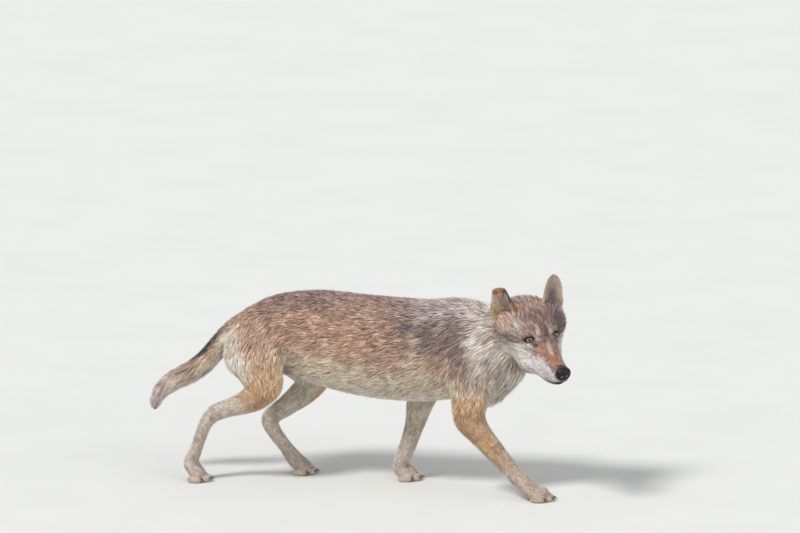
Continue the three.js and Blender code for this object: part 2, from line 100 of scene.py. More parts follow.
def to_maker(points: Array) -> Array:
    """Turns metres in the row frame into millimetres in the maker's frame."""
    return points / METRES_PER_MM + ROW_ORIGIN


def unit(vectors: Array) -> Array:
    """Scales vectors, one to a row, to length 1."""
    return vectors / np.maximum(np.linalg.norm(vectors, axis=-1, keepdims=True), TINY)


def norms(vectors: Array) -> Array:
    """Gives the length of each row."""
    return np.linalg.norm(vectors, axis=1)


def dots(first: Array, second: Array) -> Array:
    """Gives the scalar product of each pair of rows."""
    return np.einsum("ij,ij->i", first, second)


def smooth_step(values: Array, low: float, high: float) -> Array:
    """Rises smoothly from 0 at low to 1 at high, and falls where low is above high."""
    t = np.clip((values - low) / (high - low), 0.0, 1.0)
    return t * t * (3.0 - 2.0 * t)


def blend(first: Array, second: Array, radius: float) -> Array:
    """Joins two distance fields, with a fillet of about that radius where they meet."""
    near = np.maximum(radius - np.abs(first - second), 0.0) / radius
    return np.minimum(first, second) - near * near * radius * 0.25


def linear(colour: Sequence[float]) -> Array:
    """Turns an sRGB colour of 0 to 255 a channel into linear light of 0 to 1."""
    share = np.asarray(colour, float) / 255.0
    return np.where(share <= 0.04045, share / 12.92, ((share + 0.055) / 1.055) ** 2.4)


class Ripple:
    """A smooth three-dimensional noise, the sum of a few waves in random directions."""

    WAVES = 14
    FINENESS = (0.6, 1.5)  # the least and most hills that a wave has in the noise's own size

    def __init__(self, size: float, seed: int) -> None:
        """Draws the waves.

        Args:
            size: About how far it is between two of the noise's hills, in mm.
            seed: Chooses the waves.
        """
        dice = np.random.default_rng(seed)
        turns = unit(dice.normal(size=(self.WAVES, 3)))
        self.waves = turns * (math.tau / size) * dice.uniform(*self.FINENESS, (self.WAVES, 1))
        self.phases = dice.uniform(0.0, math.tau, self.WAVES)

    def at(self, points: Array) -> Array:
        """Gives the noise at some points, mostly between -1 and 1."""
        return np.sin(points @ self.waves.T + self.phases).sum(axis=1) / math.sqrt(len(self.phases))


class Side(IntEnum):
    """A side of the animal, with the sign of its places in the head's frame."""

    LEFT = 1
    RIGHT = -1

    @property
    def word(self) -> str:
        """Gives the side as the names of nodes and pieces have it."""
        return self.name.lower()


# ---------- the coat's colours ----------

CREAM = (228, 210, 188)
WHITE = (240, 228, 216)
BELLY = (228, 210, 190)
TAN = (208, 174, 150)
RUSTY_TAN = (200, 160, 136)
RUST = (214, 168, 126)
DEEP_RUST = (180, 130, 102)
GREY_BROWN = (176, 148, 138)
GREY = (158, 140, 137)
BROWN = (164, 130, 112)
DARK_GREY = (112, 99, 102)
DARK = (56, 45, 46)
BLACK = (20, 17, 19)
PALE_GREY = (216, 198, 194)
PINK_GREY = (226, 206, 190)
PALE_CHEEK = (246, 236, 222)
EAR_RUST = (178, 132, 98)
EAR_GREY = (204, 184, 170)
# Painted shade, laid in an ear's hollow and under its fold
EAR_PAINTED_SHADE = (118, 98, 94)
EAR_RIM = (240, 204, 168)
EAR_TAN = (212, 172, 138)
PURPLE_GREY = (128, 112, 120)
LILAC_WHITE = (236, 224, 224)
PALE_LILAC = (218, 202, 202)
NEAR_WHITE = (252, 234, 216)


# ---------- the animal's form, as the solids have it ----------


@dataclass(frozen=True)
class Stretch:
    """A tube of oval section along a smooth line, and the coat along it.

    Each station is x, y, z, half width and half depth, out to the tips of the coat. The coat's
    depth and the length of its hairs are given at the same stations.
    """

    stations: tuple[tuple[float, float, float, float, float], ...]
    depth: tuple[float, ...]
    length: tuple[float, ...]


TRUNK = Stretch(
    stations=(
        (430, -4, 415, 70, 118), (375, 0, 418, 92, 146), (310, 0, 423, 106, 149),
        (230, 0, 417, 113, 153), (140, 0, 415, 115, 156), (50, 0, 418, 111, 155),
        (-40, 0, 427, 100, 151), (-120, 0, 437, 91, 144), (-200, 0, 441, 93, 131),
        (-265, 0, 442, 91, 112), (-320, 0, 438, 77, 84), (-352, 0, 432, 56, 58),
    ),
    depth=(20, 20, 18, 16, 15, 14, 14, 14, 14, 14, 14, 14),
    length=(58, 56, 52, 46, 42, 40, 38, 38, 38, 38, 40, 40),
)
NECK = Stretch(
    stations=(
        (498, -28, 486, 76, 61), (482, -28, 478, 90, 98), (450, -24, 456, 98, 124),
        (410, -14, 440, 104, 138), (350, -4, 438, 108, 138), (290, 0, 450, 104, 122),
    ),
    depth=(22, 24, 24, 22, 20, 16),
    length=(56, 60, 62, 60, 54, 48),
)
TAIL = Stretch(
    stations=(
        (-335, 0, 452, 44, 42), (-385, 0, 431, 35, 39), (-420, -2, 399, 35, 35),
        (-448, -4, 366, 37, 34), (-481, -6, 332, 39, 35), (-521, -8, 304, 39, 35),
        (-561, -9, 283, 37, 32), (-593, -10, 259, 33, 28), (-612, -10, 232, 26, 23),
        (-620, -10, 210, 15, 15),
    ),
    depth=(14, 14, 15, 16, 16, 16, 15, 13, 9, 5),
    length=(38, 38, 40, 44, 46, 48, 48, 46, 40, 32),
)
FORE_DEPTH = (16, 14, 11, 8, 6, 5, 4, 4, 4, 4, 3.5, 3)
FORE_LENGTH = (42, 38, 32, 24, 20, 17, 14, 13, 12, 11, 10, 8)
FORE_RIGHT = Stretch(
    stations=(
        (300, -58, 500, 34, 56), (342, -72, 420, 42, 72), (364, -82, 340, 45, 66),
        (364, -88, 280, 41, 56), (366, -89, 235, 35, 50), (394, -89, 194, 31, 39),
        (431, -88, 152, 28, 33), (468, -87, 111, 26, 29), (498, -86, 79, 26, 28),
        (526, -86, 51, 28, 25), (556, -86, 29, 35, 26), (583, -86, 21, 37, 22),
    ),
    depth=FORE_DEPTH,
    length=FORE_LENGTH,
)
FORE_LEFT = Stretch(
    stations=(
        (290, 58, 500, 34, 56), (262, 72, 420, 42, 70), (222, 82, 350, 45, 64),
        (190, 88, 300, 41, 54), (173, 88, 258, 35, 48), (161, 88, 215, 30, 39),
        (150, 88, 170, 27, 31), (137, 87, 128, 25, 27), (126, 87, 95, 26, 27),
        (114, 87, 62, 28, 24), (113, 87, 34, 34, 26), (133, 87, 21, 37, 22),
    ),
    depth=FORE_DEPTH,
    length=FORE_LENGTH,
)
HIND_RIGHT = Stretch(
    stations=(
        (-270, -52, 480, 40, 78), (-284, -74, 430, 47, 96), (-286, -89, 385, 49, 96),
        (-279, -97, 342, 46, 81), (-264, -98, 303, 42, 56), (-287, -96, 268, 37, 44),
        (-330, -93, 243, 31, 35), (-374, -91, 226, 27, 29), (-416, -89, 206, 25, 27),
        (-441, -88, 178, 22, 22), (-457, -88, 140, 21, 20), (-473, -88, 95, 22, 20),
        (-486, -88, 54, 28, 24), (-466, -88, 22, 35, 23),
    ),
    depth=(14, 13, 12, 10, 8, 6, 5, 4.5, 4, 4, 3.5, 3.5, 3.5, 3),
    length=(40, 38, 34, 28, 24, 20, 17, 15, 14, 12, 11, 11, 10, 8),
)
HIND_LEFT = Stretch(
    stations=(
        (-262, 52, 480, 40, 78), (-256, 74, 430, 47, 94), (-232, 88, 385, 49, 92),
        (-196, 96, 335, 45, 76), (-166, 96, 290, 40, 51), (-192, 93, 248, 34, 42),
        (-240, 90, 206, 28, 33), (-292, 88, 158, 25, 27), (-278, 88, 120, 22, 23),
        (-247, 88, 80, 22, 21), (-218, 88, 44, 29, 25), (-190, 88, 22, 35, 23),
    ),
    depth=(14, 13, 12, 10, 8, 6, 5, 4, 3.5, 3.5, 3.5, 3),
    length=(40, 38, 34, 28, 24, 20, 16, 14, 12, 11, 10, 8),
)
SKULL = Stretch(
    stations=(
        (138, 0, -47, 23, 23), (128, 0, -52, 31, 32), (108, 0, -59, 35, 39),
        (80, 0, -62, 39, 46), (52, 0, -61, 43, 53), (26, 0, -54, 46, 58),
        (4, 0, -46, 49, 65), (-18, 0, -34, 59, 71), (-44, 0, -22, 78, 74),
        (-74, 0, -15, 98, 76), (-108, 0, -12, 104, 76), (-146, 0, -14, 94, 68),
    ),
    depth=(1.6, 1.8, 2.2, 2.6, 3, 3.5, 4, 5, 8, 14, 19, 22),
    length=(4, 5, 6, 7, 7.5, 8, 9, 11, 15, 22, 34, 46),
)


@dataclass(frozen=True)
class Mass:
    """A rounder mass: the middle, three radii, and the blend with what it stands on."""

    at: Triple
    radii: Triple
    blend: float

    def mirrored(self) -> "Mass":
        """Gives the same mass on the other side."""
        return replace(self, at=(self.at[0], -self.at[1], self.at[2]))

    def distance(self, points: Array) -> Array:
        """Gives the distance of points from the mass's surface."""
        return oval_distance(points - np.array(self.at), np.array(self.radii, float))


CHEST_BIB = Mass((392, -8, 335), (72, 66, 84), 34)
BREECHES = (Mass((-352, -62, 385), (34, 40, 62), 16), Mass((-326, 58, 398), (38, 38, 50), 16))
TEMPLE = Mass((-72, 66, 0), (50, 42, 42), 30)
JOWL = Mass((-44, 48, -46), (42, 33, 40), 30)
JAW = Mass((-8, 38, -80), (44, 28, 34), 26)
EAR_BASE = Mass((-88, 60, 38), (32, 30, 24), 30)
EAR_CUFF = Mass((-106, 82, 16), (30, 26, 34), 24)
BROW = Mass((-16, 31, 20), (20, 14, 10), 12)
ORBIT = Mass((-19, 35, 2), (24, 18, 20), 12)
HEAD_MASSES = tuple(
    mass
    for one in (TEMPLE, JOWL, JAW, EAR_BASE, EAR_CUFF, BROW, ORBIT)
    for mass in (one, one.mirrored())
)
LEG_NAMES = ("fore_right", "fore_left", "hind_right", "hind_left")
PAW_MIDDLES = ((597, -86), (147, 87), (-450, -88), (-175, 88))  # between the two foremost toes
TOE_RADII = (23.0, 12.0, 14.0)
TOE_HEIGHT = 12.0
TOE_SPACING = 21.0
OUTER_TOE_SET_BACK = 20.0
TOE_PLACES = (-1.5, -0.5, 0.5, 1.5)  # across the paw, in spacings
TOE_BLEND = 5.0


def oval_distance(offsets: Array, radii: Array) -> Array:
    """Gives the distance of offsets from an oval of three radii, which may differ by row."""
    near = norms(offsets / radii)
    slope = norms(offsets / (radii * radii))
    return near * (near - 1.0) / np.maximum(slope, LEAST_SLOPE)


def along_curve(rows: Array, cuts: int, centripetal: bool) -> Array:
    """Cuts the smooth curve through some rows into short spans.

    Args:
        rows: The stations, one to a row.
        cuts: How many spans lie between two stations.
        centripetal: Whether the curve's pace follows the stations' distances.

    Returns:
        The points at the spans' ends.
    """
    ends = (2 * rows[0] - rows[1], 2 * rows[-1] - rows[-2]) if centripetal else (rows[0], rows[-1])
    padded = np.vstack((ends[0], rows, ends[1]))
    made = []
    for p0, p1, p2, p3 in zip(padded, padded[1:], padded[2:], padded[3:], strict=False):
        if centripetal:
            a, b, c = (math.sqrt(np.linalg.norm(q - p)) for p, q in ((p0, p1), (p1, p2), (p2, p3)))
            leave = ((p1 - p0) / a - (p2 - p0) / (a + b) + (p2 - p1) / b) * b
            arrive = ((p2 - p1) / b - (p3 - p1) / (b + c) + (p3 - p2) / c) * b
        else:
            leave, arrive = (p2 - p0) / 2, (p3 - p1) / 2
        for step in range(cuts):
            t = step / cuts
            square = -3 * p1 + 3 * p2 - 2 * leave - arrive
            cube = 2 * p1 - 2 * p2 + leave + arrive
            made.append(p1 + t * (leave + t * (square + t * cube)))
    return np.array([*made, rows[-1]])


@dataclass
class Reading:
    """What a tube says of some points: distance, place along it, flow, and how dorsal they are."""

    distance: Array
    place: Array
    flow: Array
    dorsal: Array


class Tube:
    """A stretch made ready for measuring."""

    CUTS = 4
    MARGIN = 70.0
    AT_ONCE = 4000
    MIXING = 4.0  # how gradually one span's section gives way to the next one's, in mm

    def __init__(self, stretch: Stretch) -> None:
        """Cuts the stretch into spans."""
        rows = np.array(stretch.stations, float)
        self.points = along_curve(rows[:, :3], self.CUTS, centripetal=True)
        radii = along_curve(rows[:, 3:], self.CUTS, centripetal=False)
        self.wide, self.tall = radii.T.astype(np.float32)
        runs = np.diff(self.points, axis=0)
        lengths = norms(runs)
        along = runs / lengths[:, None]
        side = unit(np.array((0.0, 1.0, 0.0)) - along[:, 1:2] * along)
        deep = np.cross(along, side)
        ends = np.vstack((along[:1], along, along[-1:]))
        self.flow = unit(ends[1:] + ends[:-1])
        self.lengths = lengths.astype(np.float32)
        self.axes = [
            (axis.astype(np.float32), dots(self.points[:-1], axis).astype(np.float32))
            for axis in (along, side, deep)
        ]
        reach = radii.max() + self.MARGIN
        self.low, self.high = self.points.min(0) - reach, self.points.max(0) + reach
        self.stretch = stretch

    def read(self, points: Array) -> Reading:
        """Measures some points against the tube's nearest sections."""
        count = len(points)
        flow = np.tile(self.flow[0], (count, 1))
        made = Reading(np.full(count, FAR), np.zeros(count), flow, np.zeros(count))
        near = np.flatnonzero(((points > self.low) & (points < self.high)).all(axis=1))
        for start in range(0, len(near), self.AT_ONCE):
            self._read_some(points, near[start : start + self.AT_ONCE], made)
        return made

    def _read_some(self, points: Array, chosen: Array, made: Reading) -> None:
        """Measures the chosen points and writes the result into made."""
        p = points[chosen].astype(np.float32)
        onward, side, deep = (p @ axis.T - start for axis, start in self.axes)
        step = np.clip(onward, 0.0, self.lengths)
        past = onward - step
        share = step / self.lengths
        gap = np.sqrt(side * side + deep * deep + past * past)
        span = np.argmin(gap, axis=1)
        row = np.arange(len(p))
        weight = np.exp((gap[row, span][:, None] - gap) / self.MIXING)
        before = np.where(span == 0, np.minimum(past[:, 0], 0.0), 0.0)
        after = np.where(span == len(self.lengths) - 1, np.maximum(past[:, -1], 0.0), 0.0)
        past = (before + after)[:, None]
        wide = self.wide[:-1] + np.diff(self.wide) * share
        tall = self.tall[:-1] + np.diff(self.tall) * share
        cap = np.minimum(wide, tall)
        side, deep, past = side / wide, deep / tall, past / cap
        near = np.sqrt(side * side + deep * deep + past * past)
        slope = np.sqrt((side / wide) ** 2 + (deep / tall) ** 2 + (past / cap) ** 2)
        found = near * (near - 1.0) / np.maximum(slope, LEAST_SLOPE)
        made.distance[chosen] = (found * weight).sum(axis=1) / weight.sum(axis=1)
        own = share[row, span].astype(float)
        made.place[chosen] = (span + own) / self.CUTS
        made.flow[chosen] = unit(self.flow[span] * (1 - own)[:, None] + self.flow[span + 1] * own[:, None])
        made.dorsal[chosen] = deep[row, span]

    def coat(self, reading: Reading) -> tuple[Array, Array]:
        """Gives the coat's depth and the hairs' length at a reading's places."""
        stations = np.arange(len(self.stretch.depth))
        return (
            np.interp(reading.place, stations, self.stretch.depth),
            np.interp(reading.place, stations, self.stretch.length),
        )


def turn_matrix(axis: str, degrees: float) -> Matrix:
    """Gives a rotation about one axis as a 4 by 4 matrix."""
    return Matrix.Rotation(math.radians(degrees), 4, axis)


@dataclass(frozen=True)
class HeadPose:
    """Where the head is and how it is turned. Its own frame is forward, left and up."""

    between_eyes: Triple = (596.0, -130.0, 503.0)
    yaw: float = 49.0
    pitch: float = 18.0
    roll: float = 6.0

    def matrix(self) -> Matrix:
        """Gives the head's frame in the body's."""
        turned = turn_matrix("Z", -self.yaw) @ turn_matrix("Y", self.pitch) @ turn_matrix("X", self.roll)
        return Matrix.Translation(self.between_eyes) @ turned


HEAD_MATRIX = np.array(HeadPose().matrix())
HEAD_TURN = HEAD_MATRIX[:3, :3]
HEAD_PLACE = HEAD_MATRIX[:3, 3]
HEAD_REACH = 320.0


def into_head(points: Array) -> Array:
    """Turns places in the maker's frame into the head's own frame."""
    return (points - HEAD_PLACE) @ HEAD_TURN


def out_of_head(points: Array) -> Array:
    """Turns places in the head's frame into the maker's frame."""
    return points @ HEAD_TURN.T + HEAD_PLACE


@dataclass
class Survey:
    """What the body says of some points on or near it."""

    distance: Array
    flow: Array
    depth: Array
    length: Array
    readings: dict[str, Reading]
    shares: dict[str, Array]


class Body:
    """The whole animal's form as one smooth field, the same that the solids were cut from."""

    SOFTNESS = 14.0  # how gradually one stretch's coat turns into the next one's
    NECK_BLEND = 30.0
    TAIL_BLEND = 16.0
    HEAD_BLEND = 30.0
    LEG_BLEND = 34.0

    def __init__(self) -> None:
        """Makes each stretch ready."""
        self.trunk, self.neck, self.tail = Tube(TRUNK), Tube(NECK), Tube(TAIL)
        legs = (FORE_RIGHT, FORE_LEFT, HIND_RIGHT, HIND_LEFT)
        self.legs = {name: Tube(leg) for name, leg in zip(LEG_NAMES, legs, strict=True)}
        self.skull = Tube(SKULL)
        self.toes = [
            Mass(
                (x - (abs(place) - 0.5) * OUTER_TOE_SET_BACK, y + place * TOE_SPACING, TOE_HEIGHT),
                TOE_RADII,
                TOE_BLEND,
            )
            for x, y in PAW_MIDDLES
            for place in TOE_PLACES
        ]

    def head_distance(self, points: Array) -> tuple[Array, Reading]:
        """Gives the head's own distance field, and the skull tube's reading in the maker's frame."""
        own = into_head(points)
        reading = self.skull.read(own)
        near = norms(own) < HEAD_REACH
        found = reading.distance
        for mass in HEAD_MASSES:
            found = blend(found, mass.distance(own), mass.blend)
        reading.flow = reading.flow @ HEAD_TURN.T
        reading.distance = np.where(near, found, FAR)
        return reading.distance, reading

    def survey(self, points: Array) -> Survey:
        """Measures some points against the whole body.

        Args:
            points: Places in the maker's frame, one to a row.

        Returns:
            The distance to the coat's outside, the lie of the coat and its depth and length.
        """
        tubes = {"trunk": self.trunk, "neck": self.neck, "tail": self.tail, **self.legs}
        readings = {name: tube.read(points) for name, tube in tubes.items()}
        found = blend(readings["trunk"].distance, CHEST_BIB.distance(points), CHEST_BIB.blend)
        for breech in BREECHES:
            found = blend(found, breech.distance(points), breech.blend)
        found = blend(found, readings["neck"].distance, self.NECK_BLEND)
        found = blend(found, readings["tail"].distance, self.TAIL_BLEND)
        head, readings["head"] = self.head_distance(points)
        found = blend(found, head, self.HEAD_BLEND)
        legs = np.minimum.reduce([readings[name].distance for name in self.legs])
        for toe in self.toes:
            legs = blend(legs, toe.distance(points), toe.blend)
        found = blend(found, legs, self.LEG_BLEND)
        return self._merged(found, readings)

    def _merged(self, found: Array, readings: dict[str, Reading]) -> Survey:
        """Mixes the stretches' coats by how near each one is."""
        tubes = {"trunk": self.trunk, "neck": self.neck, "tail": self.tail, "head": self.skull, **self.legs}
        nearest = np.minimum.reduce([r.distance for r in readings.values()])
        shares = {n: np.exp(-(r.distance - nearest) / self.SOFTNESS) for n, r in readings.items()}
        whole = sum(shares.values())
        flow = np.zeros((len(found), 3))
        depth, length = np.zeros(len(found)), np.zeros(len(found))
        for name, reading in readings.items():
            shares[name] = shares[name] / whole
            own_depth, own_length = tubes[name].coat(reading)
            flow += reading.flow * shares[name][:, None]
            depth += own_depth * shares[name]
            length += own_length * shares[name]
        return Survey(found, unit(flow), depth, length, readings, shares)

    def distance(self, points: Array) -> Array:
        """Gives the distance to the coat's outside."""
        return self.survey(points).distance


# ---------- eyes, ears and mouth on the head ----------


@dataclass(frozen=True)
class EyeForm:
    """The eyeball's place in the head's frame, and the opening of its lids. In mm."""

    at: Triple = (-5.5, 39.5, 1.0)
    radius: float = 13.0
    lid_thickness: float = 1.5
    gaze_out: float = 14.0  # degrees from straight ahead to the side
    gaze_right: float = 12.0  # degrees that both eyes look to the right
    gaze_up: float = 0.15
    opening_out: float = 27.0
    opening_up: float = 4.0
    slant: float = 20.0  # the outer corner lies higher
    half_length: float = 13.2
    upper: float = 6.4
    lower: float = 6.0
    past_corners: float = 1.25  # how far the lids' lines are followed, in half lengths
    fullness: float = 0.8  # less makes the corners blunter
    upper_rise: float = 0.12  # how much higher the upper lid is towards the outer corner
    lower_rise: float = 0.1

    def middle(self, side: Side) -> Array:
        """Gives the eyeball's middle on one side."""
        return np.array((self.at[0], side * self.at[1], self.at[2]))

    def axes(self, side: Side) -> Array:
        """Gives the opening's axes as rows: towards the outer corner, up, and out of the face."""
        out, up = math.radians(self.opening_out), math.radians(self.opening_up)
        forward = np.array((math.cos(out) * math.cos(up), side * math.sin(out) * math.cos(up), math.sin(up)))
        level = unit(np.cross(forward, UP)) * -side
        rise = np.cross(forward, level) * -side
        tilt = math.radians(self.slant)
        corner = level * math.cos(tilt) + rise * math.sin(tilt)
        above = rise * math.cos(tilt) - level * math.sin(tilt)
        return np.stack((corner, above, forward))

    def opening(self, local: Array) -> Array:
        """Says how far points are inside the lids' opening, in mm, from places in its axes."""
        u = np.clip(local[:, 0] / self.half_length, -self.past_corners, self.past_corners)
        arch = np.sign(1 - u * u) * np.abs(1 - u * u) ** self.fullness
        top = self.upper * arch * (1 + self.upper_rise * u)
        bottom = -self.lower * arch * (1 - self.lower_rise * u)
        return np.minimum(top - local[:, 1], local[:, 1] - bottom)


@dataclass(frozen=True)
class EarForm:
    """A leaf-shaped ear, cupped forwards, in the head's frame. In mm and degrees."""

    root: Triple
    lean: float
    turn: float
    fold: float
    half_width: float
    root_width: float = 1.08
    taper: float = 0.16
    front_edge: Triple = EAR_RIM
    crease: float = 0.0  # how dark the painted shadow under the fold is
    back: float = 4.0
    length: float = 122.0
    sunk: float = 0.4  # how much of the shell lies below the root, in lengths of what shows
    root_thick: float = 9.0
    tip_thick: float = 3.6
    cup: float = 40.0  # the radius of the hollow at the root
    opening: float = 30.0  # how much more it is at the tip
    fold_start: float = 0.74
    fold_run: float = 0.08

    def bent(self, across: Array, thick: Array, s: Array, grow: float) -> Array:
        """Gives places on the ear in the maker's frame.

        Args:
            across: From -1 to 1 over the ear's width.
            thick: From -1 on its back to 1 inside it.
            s: From 0 at its root to 1 at its tip.
            grow: How much is added all round.

        Returns:
            One place to a row.
        """
        cup = self.cup + self.opening * s
        width = across * self.half_width * (self.root_width - self.taper * s) * (1 + grow / self.half_width)
        bend = width / cup
        radius = cup - thick * (self.root_thick + (self.tip_thick - self.root_thick) * s + grow)
        past = np.maximum(0.0, s - self.fold_start)
        turn = math.radians(self.fold) * np.minimum(1.0, past / self.fold_run)
        forward = cup - radius * np.cos(bend)
        beyond = past * self.length
        x = forward * np.cos(turn) + beyond * np.sin(turn)
        z = np.minimum(s, self.fold_start) * self.length + beyond * np.cos(turn) - forward * np.sin(turn)
        own = np.stack((x, radius * np.sin(bend), z, np.ones_like(x)), axis=1)
        placed = (
            Matrix.Translation(self.root)
            @ turn_matrix("Y", -self.back)
            @ turn_matrix("X", self.lean)
            @ turn_matrix("Z", self.turn)
        )
        return out_of_head((own @ np.array(placed).T)[:, :3])


EYE = EyeForm()
EARS = {
    "ear_left": EarForm(root=(-104, 65, 10), lean=-7, turn=15, fold=0, half_width=42),
    "ear_right": EarForm(
        root=(-102, -75, 36), lean=14, turn=-30, fold=132, half_width=38,
        root_width=1.18, taper=0.74, front_edge=DARK, crease=0.9,
    ),
}


@dataclass(frozen=True)
class MouthForm:
    """The line between the lips, in the head's frame. In mm."""

    forward: tuple[float, ...] = (5.0, 25.0, 50.0, 75.0, 100.0, 120.0, 138.0, 150.0)
    height: tuple[float, ...] = (-68.0, -79.0, -88.0, -91.0, -88.0, -84.0, -77.0, -70.0)
    corner: Pair = (2.0, 20.0)  # the line sets in between these places
    end: Pair = (160.0, 152.0)
    half_width: float = 2.4

    def nearness(self, own: Array) -> Array:
        """Says how near places in the head's frame are to the line, 1 on it."""
        away = own[:, 2] - np.interp(own[:, 0], self.forward, self.height)
        reach = smooth_step(own[:, 0], *self.corner) * smooth_step(own[:, 0], *self.end)
        return np.exp(-((away / self.half_width) ** 2)) * reach


MOUTH = MouthForm()


# ---------- the markings ----------


@dataclass
class Hue:
    """The coat's colours at some points, in linear light, and the share of dark-tipped hairs."""

    base: Array
    dark_tips: Array

    def lay(self, colour: Triple, weight: Array, dark_tips: float) -> None:
        """Mixes a colour in by its weight at each point."""
        self.base += (linear(colour) - self.base) * weight[:, None]
        self.dark_tips += (dark_tips - self.dark_tips) * weight


@dataclass(frozen=True)
class Marking:
    """A soft-edged patch of colour in the coat: an oval of three radii, on both sides if mirrored."""

    at: Triple
    radii: Triple
    colour: Triple
    strength: float
    dark_tips: float  # the share of hairs with dark tips
    edge: float = 0.45  # how much of the radius the soft edge takes
    mirrored: bool = True

    def lay(self, hue: Hue, points: Array, share: Array | float = 1.0) -> None:
        """Lays the patch on some points, given in the frame that the marking's place is in."""
        own, middle = points.copy(), np.array(self.at, float)
        if self.mirrored:
            own[:, 1] = np.abs(own[:, 1])
            middle[1] = abs(middle[1])
        reach = norms((own - middle) / np.array(self.radii, float))
        inside = smooth_step(reach, 1.0 + self.edge / 2, 1.0 - self.edge / 2)
        hue.lay(self.colour, inside * self.strength * share, self.dark_tips)


@dataclass(frozen=True)
class Band:
    """A colour that sets in where some measure passes from one value to another."""

    colour: Triple
    start: float
    full: float
    strength: float = 1.0
    dark_tips: float = 0.0

    def lay(self, hue: Hue, measure: Array, share: Array | float = 1.0) -> None:
        """Lays the band where the measure says, by each point's share in it."""
        inside = smooth_step(measure, self.start, self.full) * share
        hue.lay(self.colour, inside * self.strength, self.dark_tips)


@dataclass(frozen=True)
class LegBands:
    """A leg's colours along its length: rust outside, cream inside, pale grey below."""

    outside: Band
    inside: Band
    shank: Band
    rust_end: Pair = (FAR, FAR - 1.0)  # where the rust fades out, further down than any leg


BODY_MARKINGS = (
    # The first patch is painted sky light, in pale grey, on the top of the withers
    Marking((330, 0, 560), (150, 90, 60), PALE_GREY, 0.8, 0.35, 1.0),
    Marking((250, 110, 480), (100, 80, 70), GREY, 0.35, 0.55, 1.2),
    Marking((286, 112, 470), (60, 70, 40), DARK_GREY, 0.26, 0.85, 1.6),
    Marking((200, 112, 510), (70, 80, 34), DARK_GREY, 0.24, 0.85, 1.6),
    Marking((214, 112, 420), (20, 60, 64), CREAM, 0.5, 0.1, 1.1),
    Marking((110, 112, 455), (70, 60, 56), RUSTY_TAN, 0.5, 0.45, 1.3),
    Marking((460, 0, 440), (96, 130, 120), WHITE, 0.7, 0.3, 1.0),
    Marking((415, 80, 510), (44, 60, 80), NEAR_WHITE, 0.75, 0.25, 1.1),
    Marking((352, 100, 452), (34, 80, 90), GREY, 0.6, 0.7, 1.3),
    Marking((420, 0, 320), (100, 100, 80), CREAM, 0.7, 0.3, 0.9),
    Marking((-220, 0, 580), (170, 120, 70), GREY_BROWN, 0.7, 0.65, 1.2),
    Marking((-300, 100, 440), (80, 70, 80), TAN, 0.7, 0.3, 1.1),
    Marking((-372, 60, 380), (66, 90, 90), NEAR_WHITE, 0.9, 0.0, 1.2),
    Marking((-262, 110, 330), (50, 50, 80), RUST, 0.75, 0.05, 1.1),
    Marking((-300, 0, 320), (60, 60, 60), WHITE, 0.7, 0.0, mirrored=False),
)

HEAD_MARKINGS = (
    Marking((-40, 0, 50), (84, 84, 60), GREY_BROWN, 0.95, 0.6, 0.8),
    Marking((-10, 0, 40), (50, 30, 30), BROWN, 0.6, 0.6, 1.2),
    Marking((-46, 72, 24), (46, 30, 30), PURPLE_GREY, 0.8, 0.6, 0.9, mirrored=False),
    Marking((-50, -72, 14), (54, 38, 32), PINK_GREY, 0.5, 0.6, 1.1, mirrored=False),
    Marking((-46, 84, -10), (46, 30, 10), DARK_GREY, 0.45, 0.7, 1.2),
    Marking((-92, 92, 28), (34, 30, 26), EAR_TAN, 0.8, 0.2, 0.9),
    Marking((-20, 58, -56), (66, 42, 36), PALE_CHEEK, 0.9, 0.15, 0.8),
    Marking((-90, 84, -80), (50, 50, 44), CREAM, 0.6, 0.35, 1.0),
    Marking((84, 38, -68), (92, 36, 36), LILAC_WHITE, 0.95, 0.0, 0.5),
    Marking((60, 0, -112), (120, 46, 28), WHITE, 0.95, 0.0),
    Marking((50, 18, -12), (28, 11, 12), DEEP_RUST, 0.9, 0.1, 0.8),
    Marking((82, 12, -20), (30, 11, 12), DEEP_RUST, 0.9, 0.2, 0.8),
    Marking((112, 5, -26), (28, 14, 10), DEEP_RUST, 0.85, 0.3, 0.8),
    Marking((58, 0, -12), (32, 6, 12), PINK_GREY, 0.75, 0.1, 0.9),
    Marking((13, 21, 14), (13, 7, 12), PINK_GREY, 0.8, 0.1, 0.9),
    Marking((-4, 15, 30), (12, 5, 12), PINK_GREY, 0.6, 0.2, 0.9),
    Marking((10, 0, 22), (26, 6, 22), DARK_GREY, 0.6, 0.7, 1.0),
    Marking((-6, 46, 14), (13, 8, 4.5), EAR_TAN, 0.7, 0.1, 0.9),
    Marking((-17, 50, 19), (13, 8, 4.5), DARK_GREY, 0.7, 0.4, 0.9),
    Marking((6, 45, -19), (17, 10, 7), PALE_LILAC, 0.85, 0.0, 0.8),
    Marking((0, 51, -29), (13, 8, 3.5), DARK_GREY, 0.7, 0.3, 0.8),
    Marking((25, 31, -9), (10, 5, 8), DARK, 0.85, 0.0, 0.8),
    Marking((138, 0, -30), (13, 22, 14), DARK, 0.8, 0.0, 0.7),
    Marking((-90, 43, 48), (24, 15, 18), EAR_RUST, 0.9, 0.2, 0.8),
    # Painted shadow in the crevice at the near ear's root
    Marking((-84, -66, 46), (9, 9, 7), DARK, 0.8, 0.5, 0.8, mirrored=False),
)

# Over the trunk's height, from 0 at the belly to 1 at the back
LOW_FLANK = Band(CREAM, 0.52, 0.2, 0.75, 0.15)
UNDERSIDE = Band(BELLY, 0.28, 0.05)
REAR_FLANK = Band(RUSTY_TAN, 0.34, 0.66, 0.75, 0.45)
FORE_FLANK = Band(GREY, 0.42, 0.75, 0.5, 0.55)
BACK = Band(GREY_BROWN, 0.66, 1.0, 0.7, 0.6)

